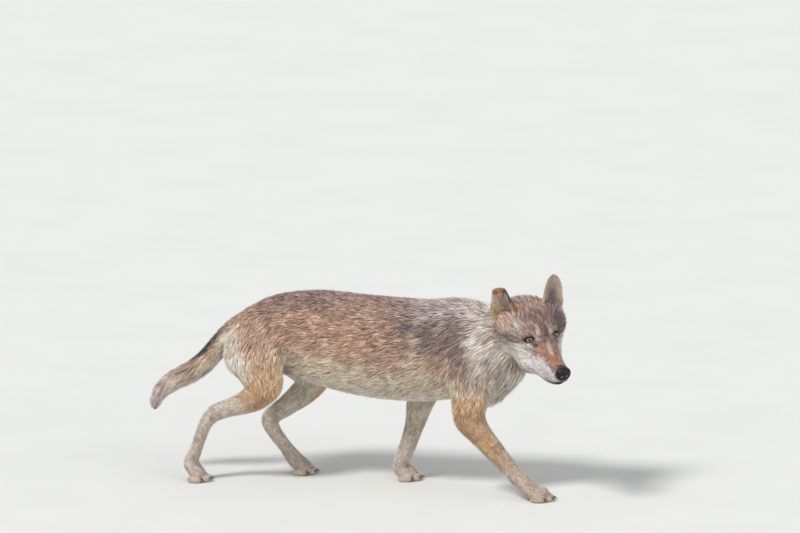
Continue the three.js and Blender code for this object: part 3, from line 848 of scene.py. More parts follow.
# Over a leg's stations, from the top
FORE_BANDS = LegBands(
    outside=Band(RUST, 1.5, 3.0, 0.9, 0.05),
    inside=Band(CREAM, 1.5, 3.0),
    shank=Band(PINK_GREY, 5.5, 8.0, 0.8),
)
HIND_BANDS = LegBands(
    outside=Band(RUST, 2.2, 4.4, 0.85, 0.05),
    inside=Band(CREAM, 2.2, 4.4),
    shank=Band(PINK_GREY, 5.2, 6.6),
    rust_end=(7.0, 4.6),
)

# Over the tail's own depth, from -1 below to 1 above, and the tip over its stations
TAIL_UNDERSIDE = Band(CREAM, 0.0, -0.35)
TAIL_BACK = Band(GREY_BROWN, 0.05, 0.35, 0.35, 0.6)
TAIL_RIDGE = Band(BLACK, 0.3, 0.48, 0.92, 1.0)
TAIL_TIP = Band(PALE_GREY, 4.0, 6.5, 0.75, 0.4)

# Over the head's length, and over how far inside the lids' opening a point is, in mm
CROWN = Band(GREY_BROWN, -150.0, -90.0, 0.9, 0.6)
LID_SHADE = Band(DARK, -8.5, -4.0, 0.9)
LID_RIM = Band(BLACK, -4.6, -2.6)

# Over an ear's height, from 0 to 1, and over its width, from -1 at the rear edge to 1 in front
EAR_BACK = Band(EAR_RUST, 0.0, 0.25, 1.0, 0.45)
EAR_ROOT = Band(EAR_TAN, 0.42, 0.15, 0.85, 0.2)
EAR_REAR_RIM = Band(EAR_RIM, -0.86, -0.96, 0.8)
EAR_FRONT_RIM = (0.72, 0.9)


class Markings:
    """Works out the coat's colour anywhere on the body."""

    FIRST_DARK_TIPS = 0.35
    WAVER_SIZES = (60.0, 14.0)  # from one bend to the next where edges of markings waver and fray
    BODY_WAVER = (15.0, 7.0)  # how far they waver and fray on the body, in mm
    HEAD_WAVER = (2.5, 2.0)
    PATCH_SIZE, MOTTLE_SIZE, FLECK_SIZE = 70.0, 22.0, 9.0
    PATCHINESS = 0.08
    MOTTLING = 0.06
    FLECKING = 0.24
    TIP_FLECKING = 0.3
    FLECKED_FROM = 0.3  # the share of dark tips from which flecks change it
    FLECK_SHIFT = 40.0
    TONES = (0.7, 1.3)
    FRONT = (60.0, 220.0)  # the trunk's fore part sets in between these places, in mm
    REAR = (-60.0, -260.0)
    REAR_BACK_LOSS = 0.4
    OUTSIDE = (74.0, 96.0)  # a leg's outside, from the body's middle plane
    NEAR_TUBE = (30.0, 8.0)
    TAIL_TAN = 0.8
    TAIL_DARK_TIPS = 0.3
    RIDGE_START = (0.4, 1.2)
    RIDGE_END = (4.0, 3.0)
    HEAD_RADIUS = 260.0
    HEAD_GAIN = 1.6
    LIP_BROADENING = (20.0, 120.0)  # the dark of the lips broadens between these places
    LIP_SHARPNESS = 0.75
    LIP_GAIN = 1.6
    LIP_STRENGTH = (0.35, 0.65)  # at the corner, and what is added in front
    WHISKER_ROWS = 7.0  # from one row of whiskers to the next, in mm
    WHISKER_SLOPE = 0.3
    WHISKER_BED = np.array((106.0, 32.0, 64.0))  # without signs, because it is on both sides
    WHISKER_RADII = np.array((24.0, 16.0, 18.0))
    WHISKER_EDGES = ((0.5, 0.95), (1.2, 0.6))  # of a row, and of the bed
    WHISKER_STRENGTH = 0.6
    LID_FRONT = (-2.0, 3.0)
    EAR_TURNOVER = 0.15
    EAR_MIDDLE = ((0.75, 0.1), (0.9, 0.5))  # where shade is painted in the ear's hollow: over half the width, and over the height
    EAR_MIDDLE_STRENGTH = (0.7, 0.5)  # of the painted shade in an open ear's hollow, and what the painted shadow under a fold takes from it
    EAR_DARK_TIPS = (0.15, 0.4, 0.3)  # inside, in the painted shade of its hollow and in the painted shadow under the fold
    RIM_STRENGTH = 0.9
    # Where the painted shadow under a fold lies: how far below the fold, and how wide, in heights
    CREASE_BELOW = 0.03
    CREASE_WIDTH = 0.05

    def __init__(self) -> None:
        """Draws the noises that break up the edges of the markings."""
        self.patches = Ripple(self.PATCH_SIZE, seed=3)
        self.mottle = Ripple(self.MOTTLE_SIZE, seed=4)
        self.flecks = Ripple(self.FLECK_SIZE, seed=6)
        wide, narrow = self.WAVER_SIZES
        self.wobble = [Ripple(wide, seed=14 + axis) for axis in range(3)]
        self.fray = [Ripple(narrow, seed=10 + axis) for axis in range(3)]

    def at(self, points: Array, survey: Survey, ears: "EarTouch") -> Hue:
        """Gives the colours at some points on the skin."""
        wobble, fray = (
            np.stack([noise.at(points) for noise in noises], axis=1) for noises in (self.wobble, self.fray)
        )
        body = points + self.BODY_WAVER[0] * wobble + self.BODY_WAVER[1] * fray
        head = into_head(points + self.HEAD_WAVER[0] * wobble + self.HEAD_WAVER[1] * fray)
        hue = Hue(np.tile(linear(TAN), (len(points), 1)), np.full(len(points), self.FIRST_DARK_TIPS))
        self._trunk(body, survey, hue)
        for mark in BODY_MARKINGS:
            mark.lay(hue, body)
        self._legs(body, survey, hue)
        self._tail(survey, hue)
        self._head(into_head(points), head, survey, hue)
        self._ears(ears, hue)
        on_head = survey.shares["head"] * (1 - ears.share)
        patchy = 1.0 + self.PATCHINESS * self.patches.at(points) + self.MOTTLING * self.mottle.at(points)
        patchy += self.FLECKING * on_head * self.flecks.at(points)
        flecked = on_head * self.flecks.at(points + self.FLECK_SHIFT) * (hue.dark_tips > self.FLECKED_FROM)
        hue.dark_tips += self.TIP_FLECKING * flecked
        hue.base *= np.clip(patchy, *self.TONES)[:, None]
        return hue

    def _trunk(self, body: Array, survey: Survey, hue: Hue) -> None:
        """Lays the bands of the trunk, from belly to back."""
        height = (1.0 - survey.readings["trunk"].dorsal) / 2.0
        front, rear = (smooth_step(body[:, 0], *span) for span in (self.FRONT, self.REAR))
        LOW_FLANK.lay(hue, height)
        UNDERSIDE.lay(hue, height)
        REAR_FLANK.lay(hue, height, 1 - front)
        FORE_FLANK.lay(hue, height, front)
        BACK.lay(hue, height, 1 - self.REAR_BACK_LOSS * rear)

    def _legs(self, body: Array, survey: Survey, hue: Hue) -> None:
        """Lays the legs' colours, rust on the outside, pale inside and below."""
        for name in LEG_NAMES:
            bands = FORE_BANDS if name.startswith("fore") else HIND_BANDS
            side = Side.RIGHT if name.endswith("right") else Side.LEFT
            reading = survey.readings[name]
            outside = smooth_step(side * body[:, 1], *self.OUTSIDE)
            own = survey.shares[name] * smooth_step(reading.distance, *self.NEAR_TUBE)
            rusty = smooth_step(reading.place, *bands.rust_end)
            bands.outside.lay(hue, reading.place, own * outside * rusty)
            bands.inside.lay(hue, reading.place, own * (1 - outside))
            bands.shank.lay(hue, reading.place, own)

    def _tail(self, survey: Survey, hue: Hue) -> None:
        """Lays the tail's tan, its pale underside, black ridge and pale tip."""
        reading = survey.readings["tail"]
        own = survey.shares["tail"] * smooth_step(reading.distance, *self.NEAR_TUBE)
        above, place = -reading.dorsal, reading.place
        hue.lay(TAN, own * self.TAIL_TAN, self.TAIL_DARK_TIPS)
        TAIL_UNDERSIDE.lay(hue, above, own)
        TAIL_BACK.lay(hue, above, own)
        ridge = smooth_step(place, *self.RIDGE_START) * smooth_step(place, *self.RIDGE_END)
        TAIL_RIDGE.lay(hue, above, own * ridge)
        TAIL_TIP.lay(hue, place, own)

    def _head(self, exact: Array, head: Array, survey: Survey, hue: Hue) -> None:
        """Lays the face's markings, its lips, the roots of its whiskers and the rims of its eyes.

        Args:
            exact: The points in the head's frame.
            head: The same with the wavering that frays the markings' edges.
            survey: What the body says of the points.
            hue: The colours so far.
        """
        own = survey.shares["head"] * (norms(head) < self.HEAD_RADIUS)
        CROWN.lay(hue, head[:, 0], own)
        for mark in HEAD_MARKINGS:
            mark.lay(hue, head, np.minimum(1.0, own * self.HEAD_GAIN))
        broad = smooth_step(exact[:, 0], *self.LIP_BROADENING)
        lips = MOUTH.nearness(exact) ** (1.0 - self.LIP_SHARPNESS * broad) * self.LIP_GAIN
        corner, added = self.LIP_STRENGTH
        hue.lay(BLACK, np.clip(lips, 0, 1) * (corner + added * broad), 0.0)
        rows = np.cos((exact[:, 2] + self.WHISKER_SLOPE * exact[:, 0]) * math.tau / self.WHISKER_ROWS)
        bed = norms((np.abs(exact) - self.WHISKER_BED) / self.WHISKER_RADII)
        row_edge, bed_edge = self.WHISKER_EDGES
        roots = smooth_step(rows, *row_edge) * smooth_step(bed, *bed_edge)
        hue.lay(DARK_GREY, roots * self.WHISKER_STRENGTH, 0.0)
        for side in Side:
            local = (exact - EYE.middle(side)) @ EYE.axes(side).T
            near = smooth_step(local[:, 2], *self.LID_FRONT)
            LID_SHADE.lay(hue, EYE.opening(local), near)
            LID_RIM.lay(hue, EYE.opening(local), near)

    def _ears(self, touch: "EarTouch", hue: Hue) -> None:
        """Lays the ears' colours: rust behind, grey inside, a rim, tan at the root, painted shade in the
        hollow and a painted shadow under the fold.
        """
        behind = touch.share * smooth_step(touch.inner, self.EAR_TURNOVER, -self.EAR_TURNOVER)
        inside = touch.share * smooth_step(touch.inner, -self.EAR_TURNOVER, self.EAR_TURNOVER)
        tips_inside, tips_hollow_shade, tips_fold_shadow = self.EAR_DARK_TIPS
        EAR_BACK.lay(hue, touch.rise, behind)
        hue.lay(EAR_GREY, inside, tips_inside)
        across, upward = self.EAR_MIDDLE
        middle = smooth_step(np.abs(touch.forward), *across) * smooth_step(touch.rise, *upward)
        strength, loss = self.EAR_MIDDLE_STRENGTH
        for number, form in enumerate(EARS.values()):
            own = touch.share * (touch.which == number)
            # Painted shade in the hollow of the ear, less where a fold's painted shadow takes over
            hue.lay(EAR_PAINTED_SHADE, own * inside * middle * (strength - loss * form.crease), tips_hollow_shade)
            rim = smooth_step(touch.forward, *EAR_FRONT_RIM)
            hue.lay(form.front_edge, own * rim * self.RIM_STRENGTH, 0.0)
            EAR_REAR_RIM.lay(hue, touch.forward, own)
            EAR_ROOT.lay(hue, touch.rise, own)
            # Painted shadow on the inside, just under the fold
            below = (touch.rise - form.fold_start + self.CREASE_BELOW) / self.CREASE_WIDTH
            hue.lay(EAR_PAINTED_SHADE, own * inside * np.exp(-(below**2)) * form.crease, tips_fold_shadow)


# ---------- mesh tools ----------

TOUCHING = 1e-6  # vertices nearer than this, in metres, are one
EVENING = 0.5  # how far smoothing moves a vertex to the middle of its neighbours

def rows_of(items: Sequence, name: str, width: int, kind: type = np.float32) -> Array:
    """Reads one property of many items, one item to a row."""
    found = np.empty(len(items) * width, kind)
    items.foreach_get(name, found)
    return found.reshape(-1, width)


def places_of(mesh: Mesh) -> Array:
    """Gives a mesh's vertices in the maker's frame, in mm."""
    return to_maker(rows_of(mesh.vertices, "co", 3).astype(float))


def put_places(mesh: Mesh, points: Array) -> None:
    """Moves a mesh's vertices to places in the maker's frame."""
    mesh.vertices.foreach_set("co", to_row(points).astype(np.float32).ravel())
    mesh.update()


def normals_of(mesh: Mesh) -> Array:
    """Gives a mesh's vertex normals."""
    return rows_of(mesh.vertex_normals, "vector", 3).astype(float)


def paint(mesh: Mesh, colours: Array, name: str = "coat") -> None:
    """Stores a colour for each vertex, in linear light."""
    layer = mesh.color_attributes.new(name, "FLOAT_COLOR", "POINT")
    opaque = np.concatenate((np.clip(colours, 0.0, 1.0), np.ones((len(colours), 1))), axis=1)
    layer.data.foreach_set("color", opaque.astype(np.float32).ravel())


@contextmanager
def edited(mesh: Mesh) -> Iterator[BMesh]:
    """Lends a mesh out as a bmesh, and takes the changes back."""
    bm = bmesh.new()
    bm.from_mesh(mesh)
    yield bm
    bm.to_mesh(mesh)
    bm.free()


def smoothed(mesh: Mesh, rounds: int) -> None:
    """Evens out a mesh."""
    with edited(mesh) as bm:
        for _ in range(rounds):
            bmesh.ops.smooth_vert(
                bm, verts=bm.verts, factor=EVENING, use_axis_x=True, use_axis_y=True, use_axis_z=True
            )


def split_where(mesh: Mesh, chosen: Array) -> None:
    """Halves the edges whose two ends are both chosen."""
    with edited(mesh) as bm:
        edges = [e for e in bm.edges if chosen[e.verts[0].index] and chosen[e.verts[1].index]]
        bmesh.ops.subdivide_edges(bm, edges=edges, cuts=1, use_grid_fill=True)


def placed(name: str, data: bpy.types.ID, towards: Array | Triple | None = None) -> Object:
    """Makes an object, turns it to look somewhere if it has to, and puts it in the scene."""
    made = bpy.data.objects.new(name, data)
    if towards is not None:
        made.rotation_mode = "QUATERNION"
        made.rotation_quaternion = Vector(towards).to_track_quat("-Z", "Y")
    bpy.context.scene.collection.objects.link(made)
    return made


def new_object(name: str, bm: BMesh, smooth: bool = True) -> Object:
    """Makes an object of a bmesh and frees it."""
    mesh = bpy.data.meshes.new(name)
    bm.to_mesh(mesh)
    bm.free()
    mesh.polygons.foreach_set("use_smooth", [smooth] * len(mesh.polygons))
    return placed(name, mesh)


def apply_modifiers(made: Object) -> None:
    """Turns an object's modifiers into its mesh."""
    graph = bpy.context.evaluated_depsgraph_get()
    graph.update()
    mesh = bpy.data.meshes.new_from_object(made.evaluated_get(graph), depsgraph=graph)
    made.modifiers.clear()
    old, made.data = made.data, mesh
    bpy.data.meshes.remove(old)


def ball_mesh(around: int, along: int) -> BMesh:
    """Starts a closed round mesh of radius 1, whose poles are up and down.

    The order of a new sphere's faces changes from run to run, so they are laid again in one order.
    """
    bm = bmesh.new()
    bmesh.ops.create_uvsphere(bm, u_segments=around, v_segments=along, radius=1.0)
    faces = []
    for face in bm.faces:
        corners = [v.index for v in face.verts]
        first = corners.index(min(corners))
        faces.append(corners[first:] + corners[:first])
    bmesh.ops.delete(bm, geom=bm.edges[:], context="EDGES_FACES")
    bm.verts.ensure_lookup_table()
    for corners in sorted(faces):
        bm.faces.new([bm.verts[corner] for corner in corners])
    return bm


def bmesh_places(bm: BMesh) -> Array:
    """Gives a bmesh's vertices as rows."""
    return np.array([v.co for v in bm.verts], float)


def put_bmesh_places(bm: BMesh, points: Array) -> None:
    """Moves a bmesh's vertices to places in the maker's frame and turns its faces outwards."""
    for vertex, place in zip(bm.verts, to_row(points), strict=True):
        vertex.co = place
    bmesh.ops.recalc_face_normals(bm, faces=bm.faces)
    if bm.calc_volume(signed=True) < 0.0:
        bmesh.ops.reverse_faces(bm, faces=bm.faces)


# ---------- ears ----------


@dataclass
class EarTouch:
    """Which points of the skin lie on an ear, and where on it."""

    share: Array
    inner: Array
    rise: Array
    forward: Array
    flow: Array
    which: Array


class Ears:
    """Both ears, as thin shells that are joined to the skin."""

    GROW = -1.2  # the skin lies this far inside the tips of the coat
    FULLNESS = 2.7  # 2 would round the tip like an egg's, more makes it blunter
    SEGMENTS = (48, 64)
    STEP = 0.01  # how far up the ear the lie of its hair is felt for
    FRONT, REAR, LOW = -50.0, -200.0, -20.0  # no ear lies past these places in the head's frame
    DEEPEST = -14.0  # nor deeper than this under the coat
    NEIGHBOURS = 8
    LONGEST_GAP = 6.0
    GAP_FOR_MATCH = 4.0  # this wide a gap outweighs facing wholly the same way
    CLEAR = (-9.0, -3.0)  # over this depth the ear's coat gives way to the head's

    def __init__(self) -> None:
        """Works out where both ears' surfaces are."""
        self.shells = []
        facts = []
        for name, form in EARS.items():
            bm = ball_mesh(*self.SEGMENTS)
            own = bmesh_places(bm)
            around = np.sqrt(np.maximum(1.0 - own[:, 2] ** 2, TINY))
            fuller = (1.0 - np.abs(own[:, 2]) ** self.FULLNESS) ** 0.5 / around
            across, thick = -own[:, 0] * fuller, own[:, 1] * fuller
            forward = -own[:, 0] / around * (1 if form.root[1] < 0 else -1)
            rise = (own[:, 2] + form.sunk) / (1.0 + form.sunk)
            places = form.bent(across, thick, rise, self.GROW)
            ahead = form.bent(across, thick, rise + self.STEP, self.GROW)
            put_bmesh_places(bm, places)
            shell = new_object(name + "_shell", bm)
            self.shells.append(shell)
            lie = unit(ahead - places)
            which = np.full(len(places), len(facts))
            inner = own[:, 1] / around
            facts.append(np.column_stack((places, lie, inner, rise, forward, normals_of(shell.data), which)))
        self.facts = np.vstack(facts)
        self.tree = KDTree(len(self.facts))
        for index, row in enumerate(self.facts):
            self.tree.insert(row[:3], index)
        self.tree.balance()

    def touch(self, points: Array, normals: Array, survey: Survey) -> EarTouch:
        """Finds which points of the skin lie on an ear, by place and by the way that they face."""
        count = len(points)
        made = EarTouch(*np.zeros((4, count)), np.tile(UP, (count, 1)), np.zeros(count, int))
        head = into_head(points)
        near = (head[:, 0] < self.FRONT) & (head[:, 0] > self.REAR) & (head[:, 2] > self.LOW)
        near &= survey.distance > self.DEEPEST
        for index in np.flatnonzero(near):
            best, row = 0.0, None
            for _, found, gap in self.tree.find_n(points[index], self.NEIGHBOURS):
                match = float(self.facts[found, 9:12] @ normals[index]) - gap / self.GAP_FOR_MATCH
                if gap < self.LONGEST_GAP and match > best:
                    best, row = match, self.facts[found]
            if row is None:
                continue
            made.share[index] = 1.0
            made.flow[index] = row[3:6]
            made.inner[index], made.rise[index], made.forward[index] = row[6:9]
            made.which[index] = int(row[12])
        made.share *= smooth_step(survey.distance, *self.CLEAR)
        return made


# ---------- the skin ----------

FLESH = ("trunk", "neck", "head", "muzzle", "tail") + tuple(
    f"{leg}_{part}" for leg in LEG_NAMES for part in ("upper", "lower", "paw")
)
EAR_NODES = ("ear_left", "ear_right")


class Skin:
    """One closed skin that replaces every node of flesh and lies under the coat."""

    FIRST_VOXEL = 0.006
    SECOND_VOXEL = 0.00615  # keeps the finished skin under 200,000 triangles
    SWELL = 0.0008  # closes the cuts between the copies
    FEELER = 1.0
    LEAST_STEEPNESS = 0.5
    LONGEST_PULL = 10.0
    LOWEST = 0.3  # the soles stay this far above the ground
    DEPTH_EVENING = 24
    SOLE = (13.0, 5.0)  # the coat thins out to nothing over these heights
    LID_BLEND = 6.0
    LIP_DEPTH = 2.4
    HEAD_RADIUS = 190.0  # the mesh is finer within these places, in the head's frame
    HEAD_BACK = -90.0
    FACE_BACK, FACE_LOW = -30.0, -110.0
    LID_RADIUS = 20.0
    PAW_TOP = 46.0
    LID_EDGE = (-0.1, 0.5)
    SOCKET_MARGIN = 8.0
    SOCKET_DEPTH = 3.0
    UNWRAP_ANGLE = 1.15
    ISLAND_MARGIN = 0.004

    def __init__(self, frame: dict, body: Body, ears: Ears) -> None:
        """Builds the skin's mesh."""
        self.frame, self.body, self.ears = frame, body, ears
        self.made = self._joined_copies()
        for voxel, rounds in ((self.FIRST_VOXEL, 4), (self.SECOND_VOXEL, 3)):
            self._remesh(voxel)
            self._lay_depth()
            self._settle(rounds, even=2)
        for part in (self._finer_parts, self._face):
            self._refine(part)
            self._settle(rounds=2, even=1)
        self._refine(self._round_the_eyes)
        self._settle(rounds=3, even=0)
        self._open_lids()
        self._join_ears()
        self._unwrap()
        LOG.info("skin: %d vertices", len(self.made.data.vertices))

    def _joined_copies(self) -> Object:
        """Joins copies of the nodes of flesh."""
        bm = bmesh.new()
        for name in FLESH:
            bm.from_mesh(self.frame["nodes"][name].data)
        bmesh.ops.remove_doubles(bm, verts=bm.verts, dist=TOUCHING)
        bm.normal_update()
        for vertex in bm.verts:
            vertex.co += vertex.normal * self.SWELL
        return new_object("wolf_skin", bm)

    def _remesh(self, voxel: float) -> None:
        """Runs what there is together into one even mesh and keeps its largest part."""
        remesh = self.made.modifiers.new("run_together", "REMESH")
        remesh.mode = "VOXEL"
        remesh.voxel_size = voxel
        apply_modifiers(self.made)
        with edited(self.made.data) as bm:
            bm.verts.ensure_lookup_table()
            part = np.full(len(bm.verts), -1)
            sizes: list[int] = []
            for start in bm.verts:
                if part[start.index] >= 0:
                    continue
                waiting, count = [start], 0
                part[start.index] = len(sizes)
                while waiting:
                    here = waiting.pop()
                    count += 1
                    for edge in here.link_edges:
                        there = edge.other_vert(here)
                        if part[there.index] < 0:
                            part[there.index] = len(sizes)
                            waiting.append(there)
                sizes.append(count)
            loose = [v for v in bm.verts if part[v.index] != int(np.argmax(sizes))]
            bmesh.ops.delete(bm, geom=loose, context="VERTS")

    def _lay_depth(self) -> None:
        """Stores the coat's depth at each vertex, evened out so that it changes gradually."""
        mesh = self.made.data
        depth = self.body.survey(places_of(mesh)).depth
        ends = rows_of(mesh.edges, "vertices", 2, np.int32)
        first, second = ends.T
        near = np.bincount(ends.ravel(), minlength=len(depth))
        for _ in range(self.DEPTH_EVENING):
            total = np.bincount(first, depth[second], len(depth))
            total += np.bincount(second, depth[first], len(depth))
            depth = (depth + total / near) / 2
        layer = mesh.attributes.new("coat_depth", "FLOAT", "POINT")
        layer.data.foreach_set("value", depth.astype(np.float32))

    def target(self, points: Array, depth: Array) -> Array:
        """Gives the distance of points from where the skin should be."""
        sole = smooth_step(points[:, 2], *self.SOLE)
        found = self.body.distance(points) + depth * (1.0 - sole)
        own = into_head(points)
        near = norms(own) < HEAD_REACH
        face, own = found[near], own[near]
        for side in Side:
            lids = norms(own - EYE.middle(side)) - EYE.radius - EYE.lid_thickness
            face = blend(face, lids, self.LID_BLEND)
        found[near] = face + self.LIP_DEPTH * MOUTH.nearness(own)
        return found

    def _outward(self, points: Array, depth: Array, here: Array) -> Array:
        """Gives the way to a place where the target distance is 1 mm greater."""
        rise = np.empty_like(points)
        for axis in range(3):
            ahead = points.copy()
            ahead[:, axis] += self.FEELER
            rise[:, axis] = (self.target(ahead, depth) - here) / self.FEELER
        steepness = np.linalg.norm(rise, axis=1, keepdims=True)
        return rise / np.maximum(steepness, self.LEAST_STEEPNESS) ** 2

    def _settle(self, rounds: int, even: int) -> None:
        """Draws the mesh onto the skin's surface, evening it out so many times before each round."""
        mesh = self.made.data
        for _ in range(rounds):
            if even:
                smoothed(mesh, even)
            points = places_of(mesh)
            depth = rows_of(mesh.attributes["coat_depth"].data, "value", 1)[:, 0]
            here = self.target(points, depth)
            pull = self._outward(points, depth, here) * here[:, None]
            reach = np.linalg.norm(pull, axis=1, keepdims=True)
            points -= pull * np.minimum(1.0, self.LONGEST_PULL / np.maximum(reach, TINY))
            points[:, 2] = np.maximum(points[:, 2], self.LOWEST)
            put_places(mesh, points)

    def _refine(self, chosen: Callable[[Array], Array]) -> None:
        """Halves the mesh's edges in one part of it."""
        split_where(self.made.data, chosen(places_of(self.made.data)))

    def _finer_parts(self, points: Array) -> Array:
        """Chooses the head and the paws."""
        own = into_head(points)
        head = (norms(own) < self.HEAD_RADIUS) & (own[:, 0] > self.HEAD_BACK)
        return head | (points[:, 2] < self.PAW_TOP)

    def _face(self, points: Array) -> Array:
        """Chooses the muzzle and the front of the face."""
        own = into_head(points)
        near = norms(own) < self.HEAD_RADIUS
        return near & (own[:, 0] > self.FACE_BACK) & (own[:, 2] > self.FACE_LOW)

    def _round_the_eyes(self, points: Array) -> Array:
        """Chooses the lids."""
        own = into_head(points)
        gaps = [norms(own - EYE.middle(side)) for side in Side]
        return np.minimum(*gaps) < self.LID_RADIUS

    def _open_lids(self) -> None:
        """Sinks the skin inside the lids' opening behind the eyeball's surface."""
        mesh = self.made.data
        points = places_of(mesh)
        own = into_head(points)
        for side in Side:
            middle = EYE.middle(side)
            local = (own - middle) @ EYE.axes(side).T
            near = norms(local) < EYE.radius + self.SOCKET_MARGIN
            inside = smooth_step(EYE.opening(local), *self.LID_EDGE) * (local[:, 2] > 0) * near
            sunk = middle + unit(own - middle) * (EYE.radius - self.SOCKET_DEPTH)
            own += (sunk - own) * inside[:, None]
        put_places(mesh, out_of_head(own))

    def _join_ears(self) -> None:
        """Joins the ears' shells to the head."""
        for shell in self.ears.shells:
            joint = self.made.modifiers.new("ear", "BOOLEAN")
            joint.operation = "UNION"
            joint.solver = "MANIFOLD"
            joint.object = shell
            apply_modifiers(self.made)
            bpy.data.objects.remove(shell)

    def _unwrap(self) -> None:
        """Lays the skin's own shape out flat."""
        with edited(self.made.data) as bm:
            bmesh.ops.triangulate(bm, faces=bm.faces)
        self.made.data.polygons.foreach_set("use_smooth", [True] * len(self.made.data.polygons))
        self.made.data.uv_layers.new(name="OFBake")
        bpy.context.view_layer.objects.active = self.made
        self.made.select_set(True)
        bpy.ops.object.mode_set(mode="EDIT")
        bpy.ops.mesh.select_all(action="SELECT")
        bpy.ops.uv.smart_project(
            angle_limit=self.UNWRAP_ANGLE, island_margin=self.ISLAND_MARGIN, scale_to_bounds=True
        )
        bpy.ops.object.mode_set(mode="OBJECT")
        self.made.select_set(False)


# ---------- the coat ----------


@dataclass(frozen=True)
class Zone:
    """A part of the coat that is one piece of mesh."""

    name: str
    curved: bool  # longer tufts have a bend, short ones are straight
    clump: float  # how strongly tips gather


ZONES = (
    Zone("coat_face", False, 0.15),
    Zone("coat_ears", False, 0.1),
    Zone("coat_ruff", True, 0.45),
    Zone("coat_shoulders", True, 0.4),
    Zone("coat_flank_right", True, 0.35),
    Zone("coat_flank_left", True, 0.35),
    Zone("coat_rump", True, 0.35),
    Zone("coat_thighs", True, 0.3),
    Zone("coat_fore_legs", False, 0.15),
    Zone("coat_hind_legs", False, 0.15),
    Zone("coat_tail", True, 0.4),
)
ZONE_NUMBER = {zone.name: number for number, zone in enumerate(ZONES)}
MOSTLY = 0.5  # from this share on, a point belongs to a stretch


@dataclass
class TuftPattern:
    """One tuft's shape, which every tuft of its kind repeats: places across, through and along it."""

    BEND_AT = 0.45  # the ring's place along the tuft

    places: Array
    faces: list[tuple[int, ...]]

    @staticmethod
    def made(curved: bool) -> "TuftPattern":
        """Models the tuft as a slender three-sided spike with a closed root.

        Args:
            curved: Whether it has a ring halfway, so that it can bend.

        Returns:
            The pattern, with 0 at the root and 1 at the tip.
        """
        bm = bmesh.new()
        bmesh.ops.create_cone(
            bm, cap_ends=True, cap_tris=False, segments=3, radius1=1.0, radius2=0.0, depth=1.0
        )
        bmesh.ops.remove_doubles(bm, verts=bm.verts, dist=TOUCHING)
        bmesh.ops.translate(bm, verts=bm.verts, vec=(0.0, 0.0, 0.5))
        if curved:
            bmesh.ops.bisect_plane(
                bm,
                geom=bm.verts[:] + bm.edges[:] + bm.faces[:],
                plane_co=(0.0, 0.0, TuftPattern.BEND_AT),
                plane_no=(0.0, 0.0, 1.0),
            )
        bmesh.ops.recalc_face_normals(bm, faces=bm.faces)
        bm.verts.index_update()
        pattern = TuftPattern(
            np.array([v.co for v in bm.verts], float),
            [tuple(v.index for v in f.verts) for f in bm.faces],
        )
        bm.free()
        return pattern


@dataclass
class Roots:
    """The tufts' roots on the skin, with what grows there."""

    place: Array
    normal: Array
    flow: Array
    depth: Array
    length: Array
    colour: Array
    dark_tips: Array
    uv: Array
    zone: Array


@dataclass(frozen=True)
class Habit:
    """How all tufts grow. Pairs are the least and the most that chance may give."""

    swirl_size: float = 60.0  # from one swirl of the coat to the next, in mm
    swirl: float = 0.16  # how far swirls turn the lie of the coat, in radians
    turn: float = 0.13  # how far each tuft turns by itself
    lengths: Pair = (0.75, 1.12)
    rises: Pair = (0.72, 1.0)  # the tip's height over the skin, in the coat's own depths
    steepest: float = 0.6  # the most that a tip may rise, in lengths
    slack: float = 0.96  # what a bend takes from a tuft's reach
    leaders: float = 0.07  # the share of tufts that the others' tips lean to
    spread: float = 0.2  # how much of the distance between two roots is left between their tips
    leaning: Pair = (0.5, 1.3)
    strays: float = 0.12  # the share of tufts that may stand out of the coat
    stray_reach: Pair = (0.0, 0.3)  # by how much, in depths
    short_of_outline: Pair = (0.0, 0.16)
    drop: Pair = (-12.0, 30.0)  # how far a tip may be moved to meet the outline, in mm
    bow: float = 0.22  # how far a tuft's middle is raised, in rises
    widths: Pair = (0.75, 1.25)
    full_at_bend: float = 0.8  # a tuft's width at its bend
    flatness: float = 0.22
    root_depth: float = 0.8  # the roots lie this far under the skin, in mm
    softness: float = 0.5  # how much of a tuft's own roundness its shading keeps


@dataclass(frozen=True)
class TuftTones:
    """How tufts differ in tone and colour from the skin's colour where they grow."""

    by_lock: float = 0.15
    by_tuft: float = 0.27
    limits: Pair = (0.45, 1.6)
    borrowed: float = 0.4  # the share of tufts that have their leader's colour
    own_chance: float = 0.75  # of having a dark tip, and the rest goes by the leader
    edge: float = 0.1
    pale_tip: float = 1.28
    dark_tip: float = 0.85  # how dark a dark tip is, and how dark its middle
    dark_middle: float = 0.3
    shaded_lengths: Pair = (10.0, 30.0)
    root_shades: Pair = (0.8, 0.55)  # how dark the roots are painted, as shade between the tufts, at those lengths
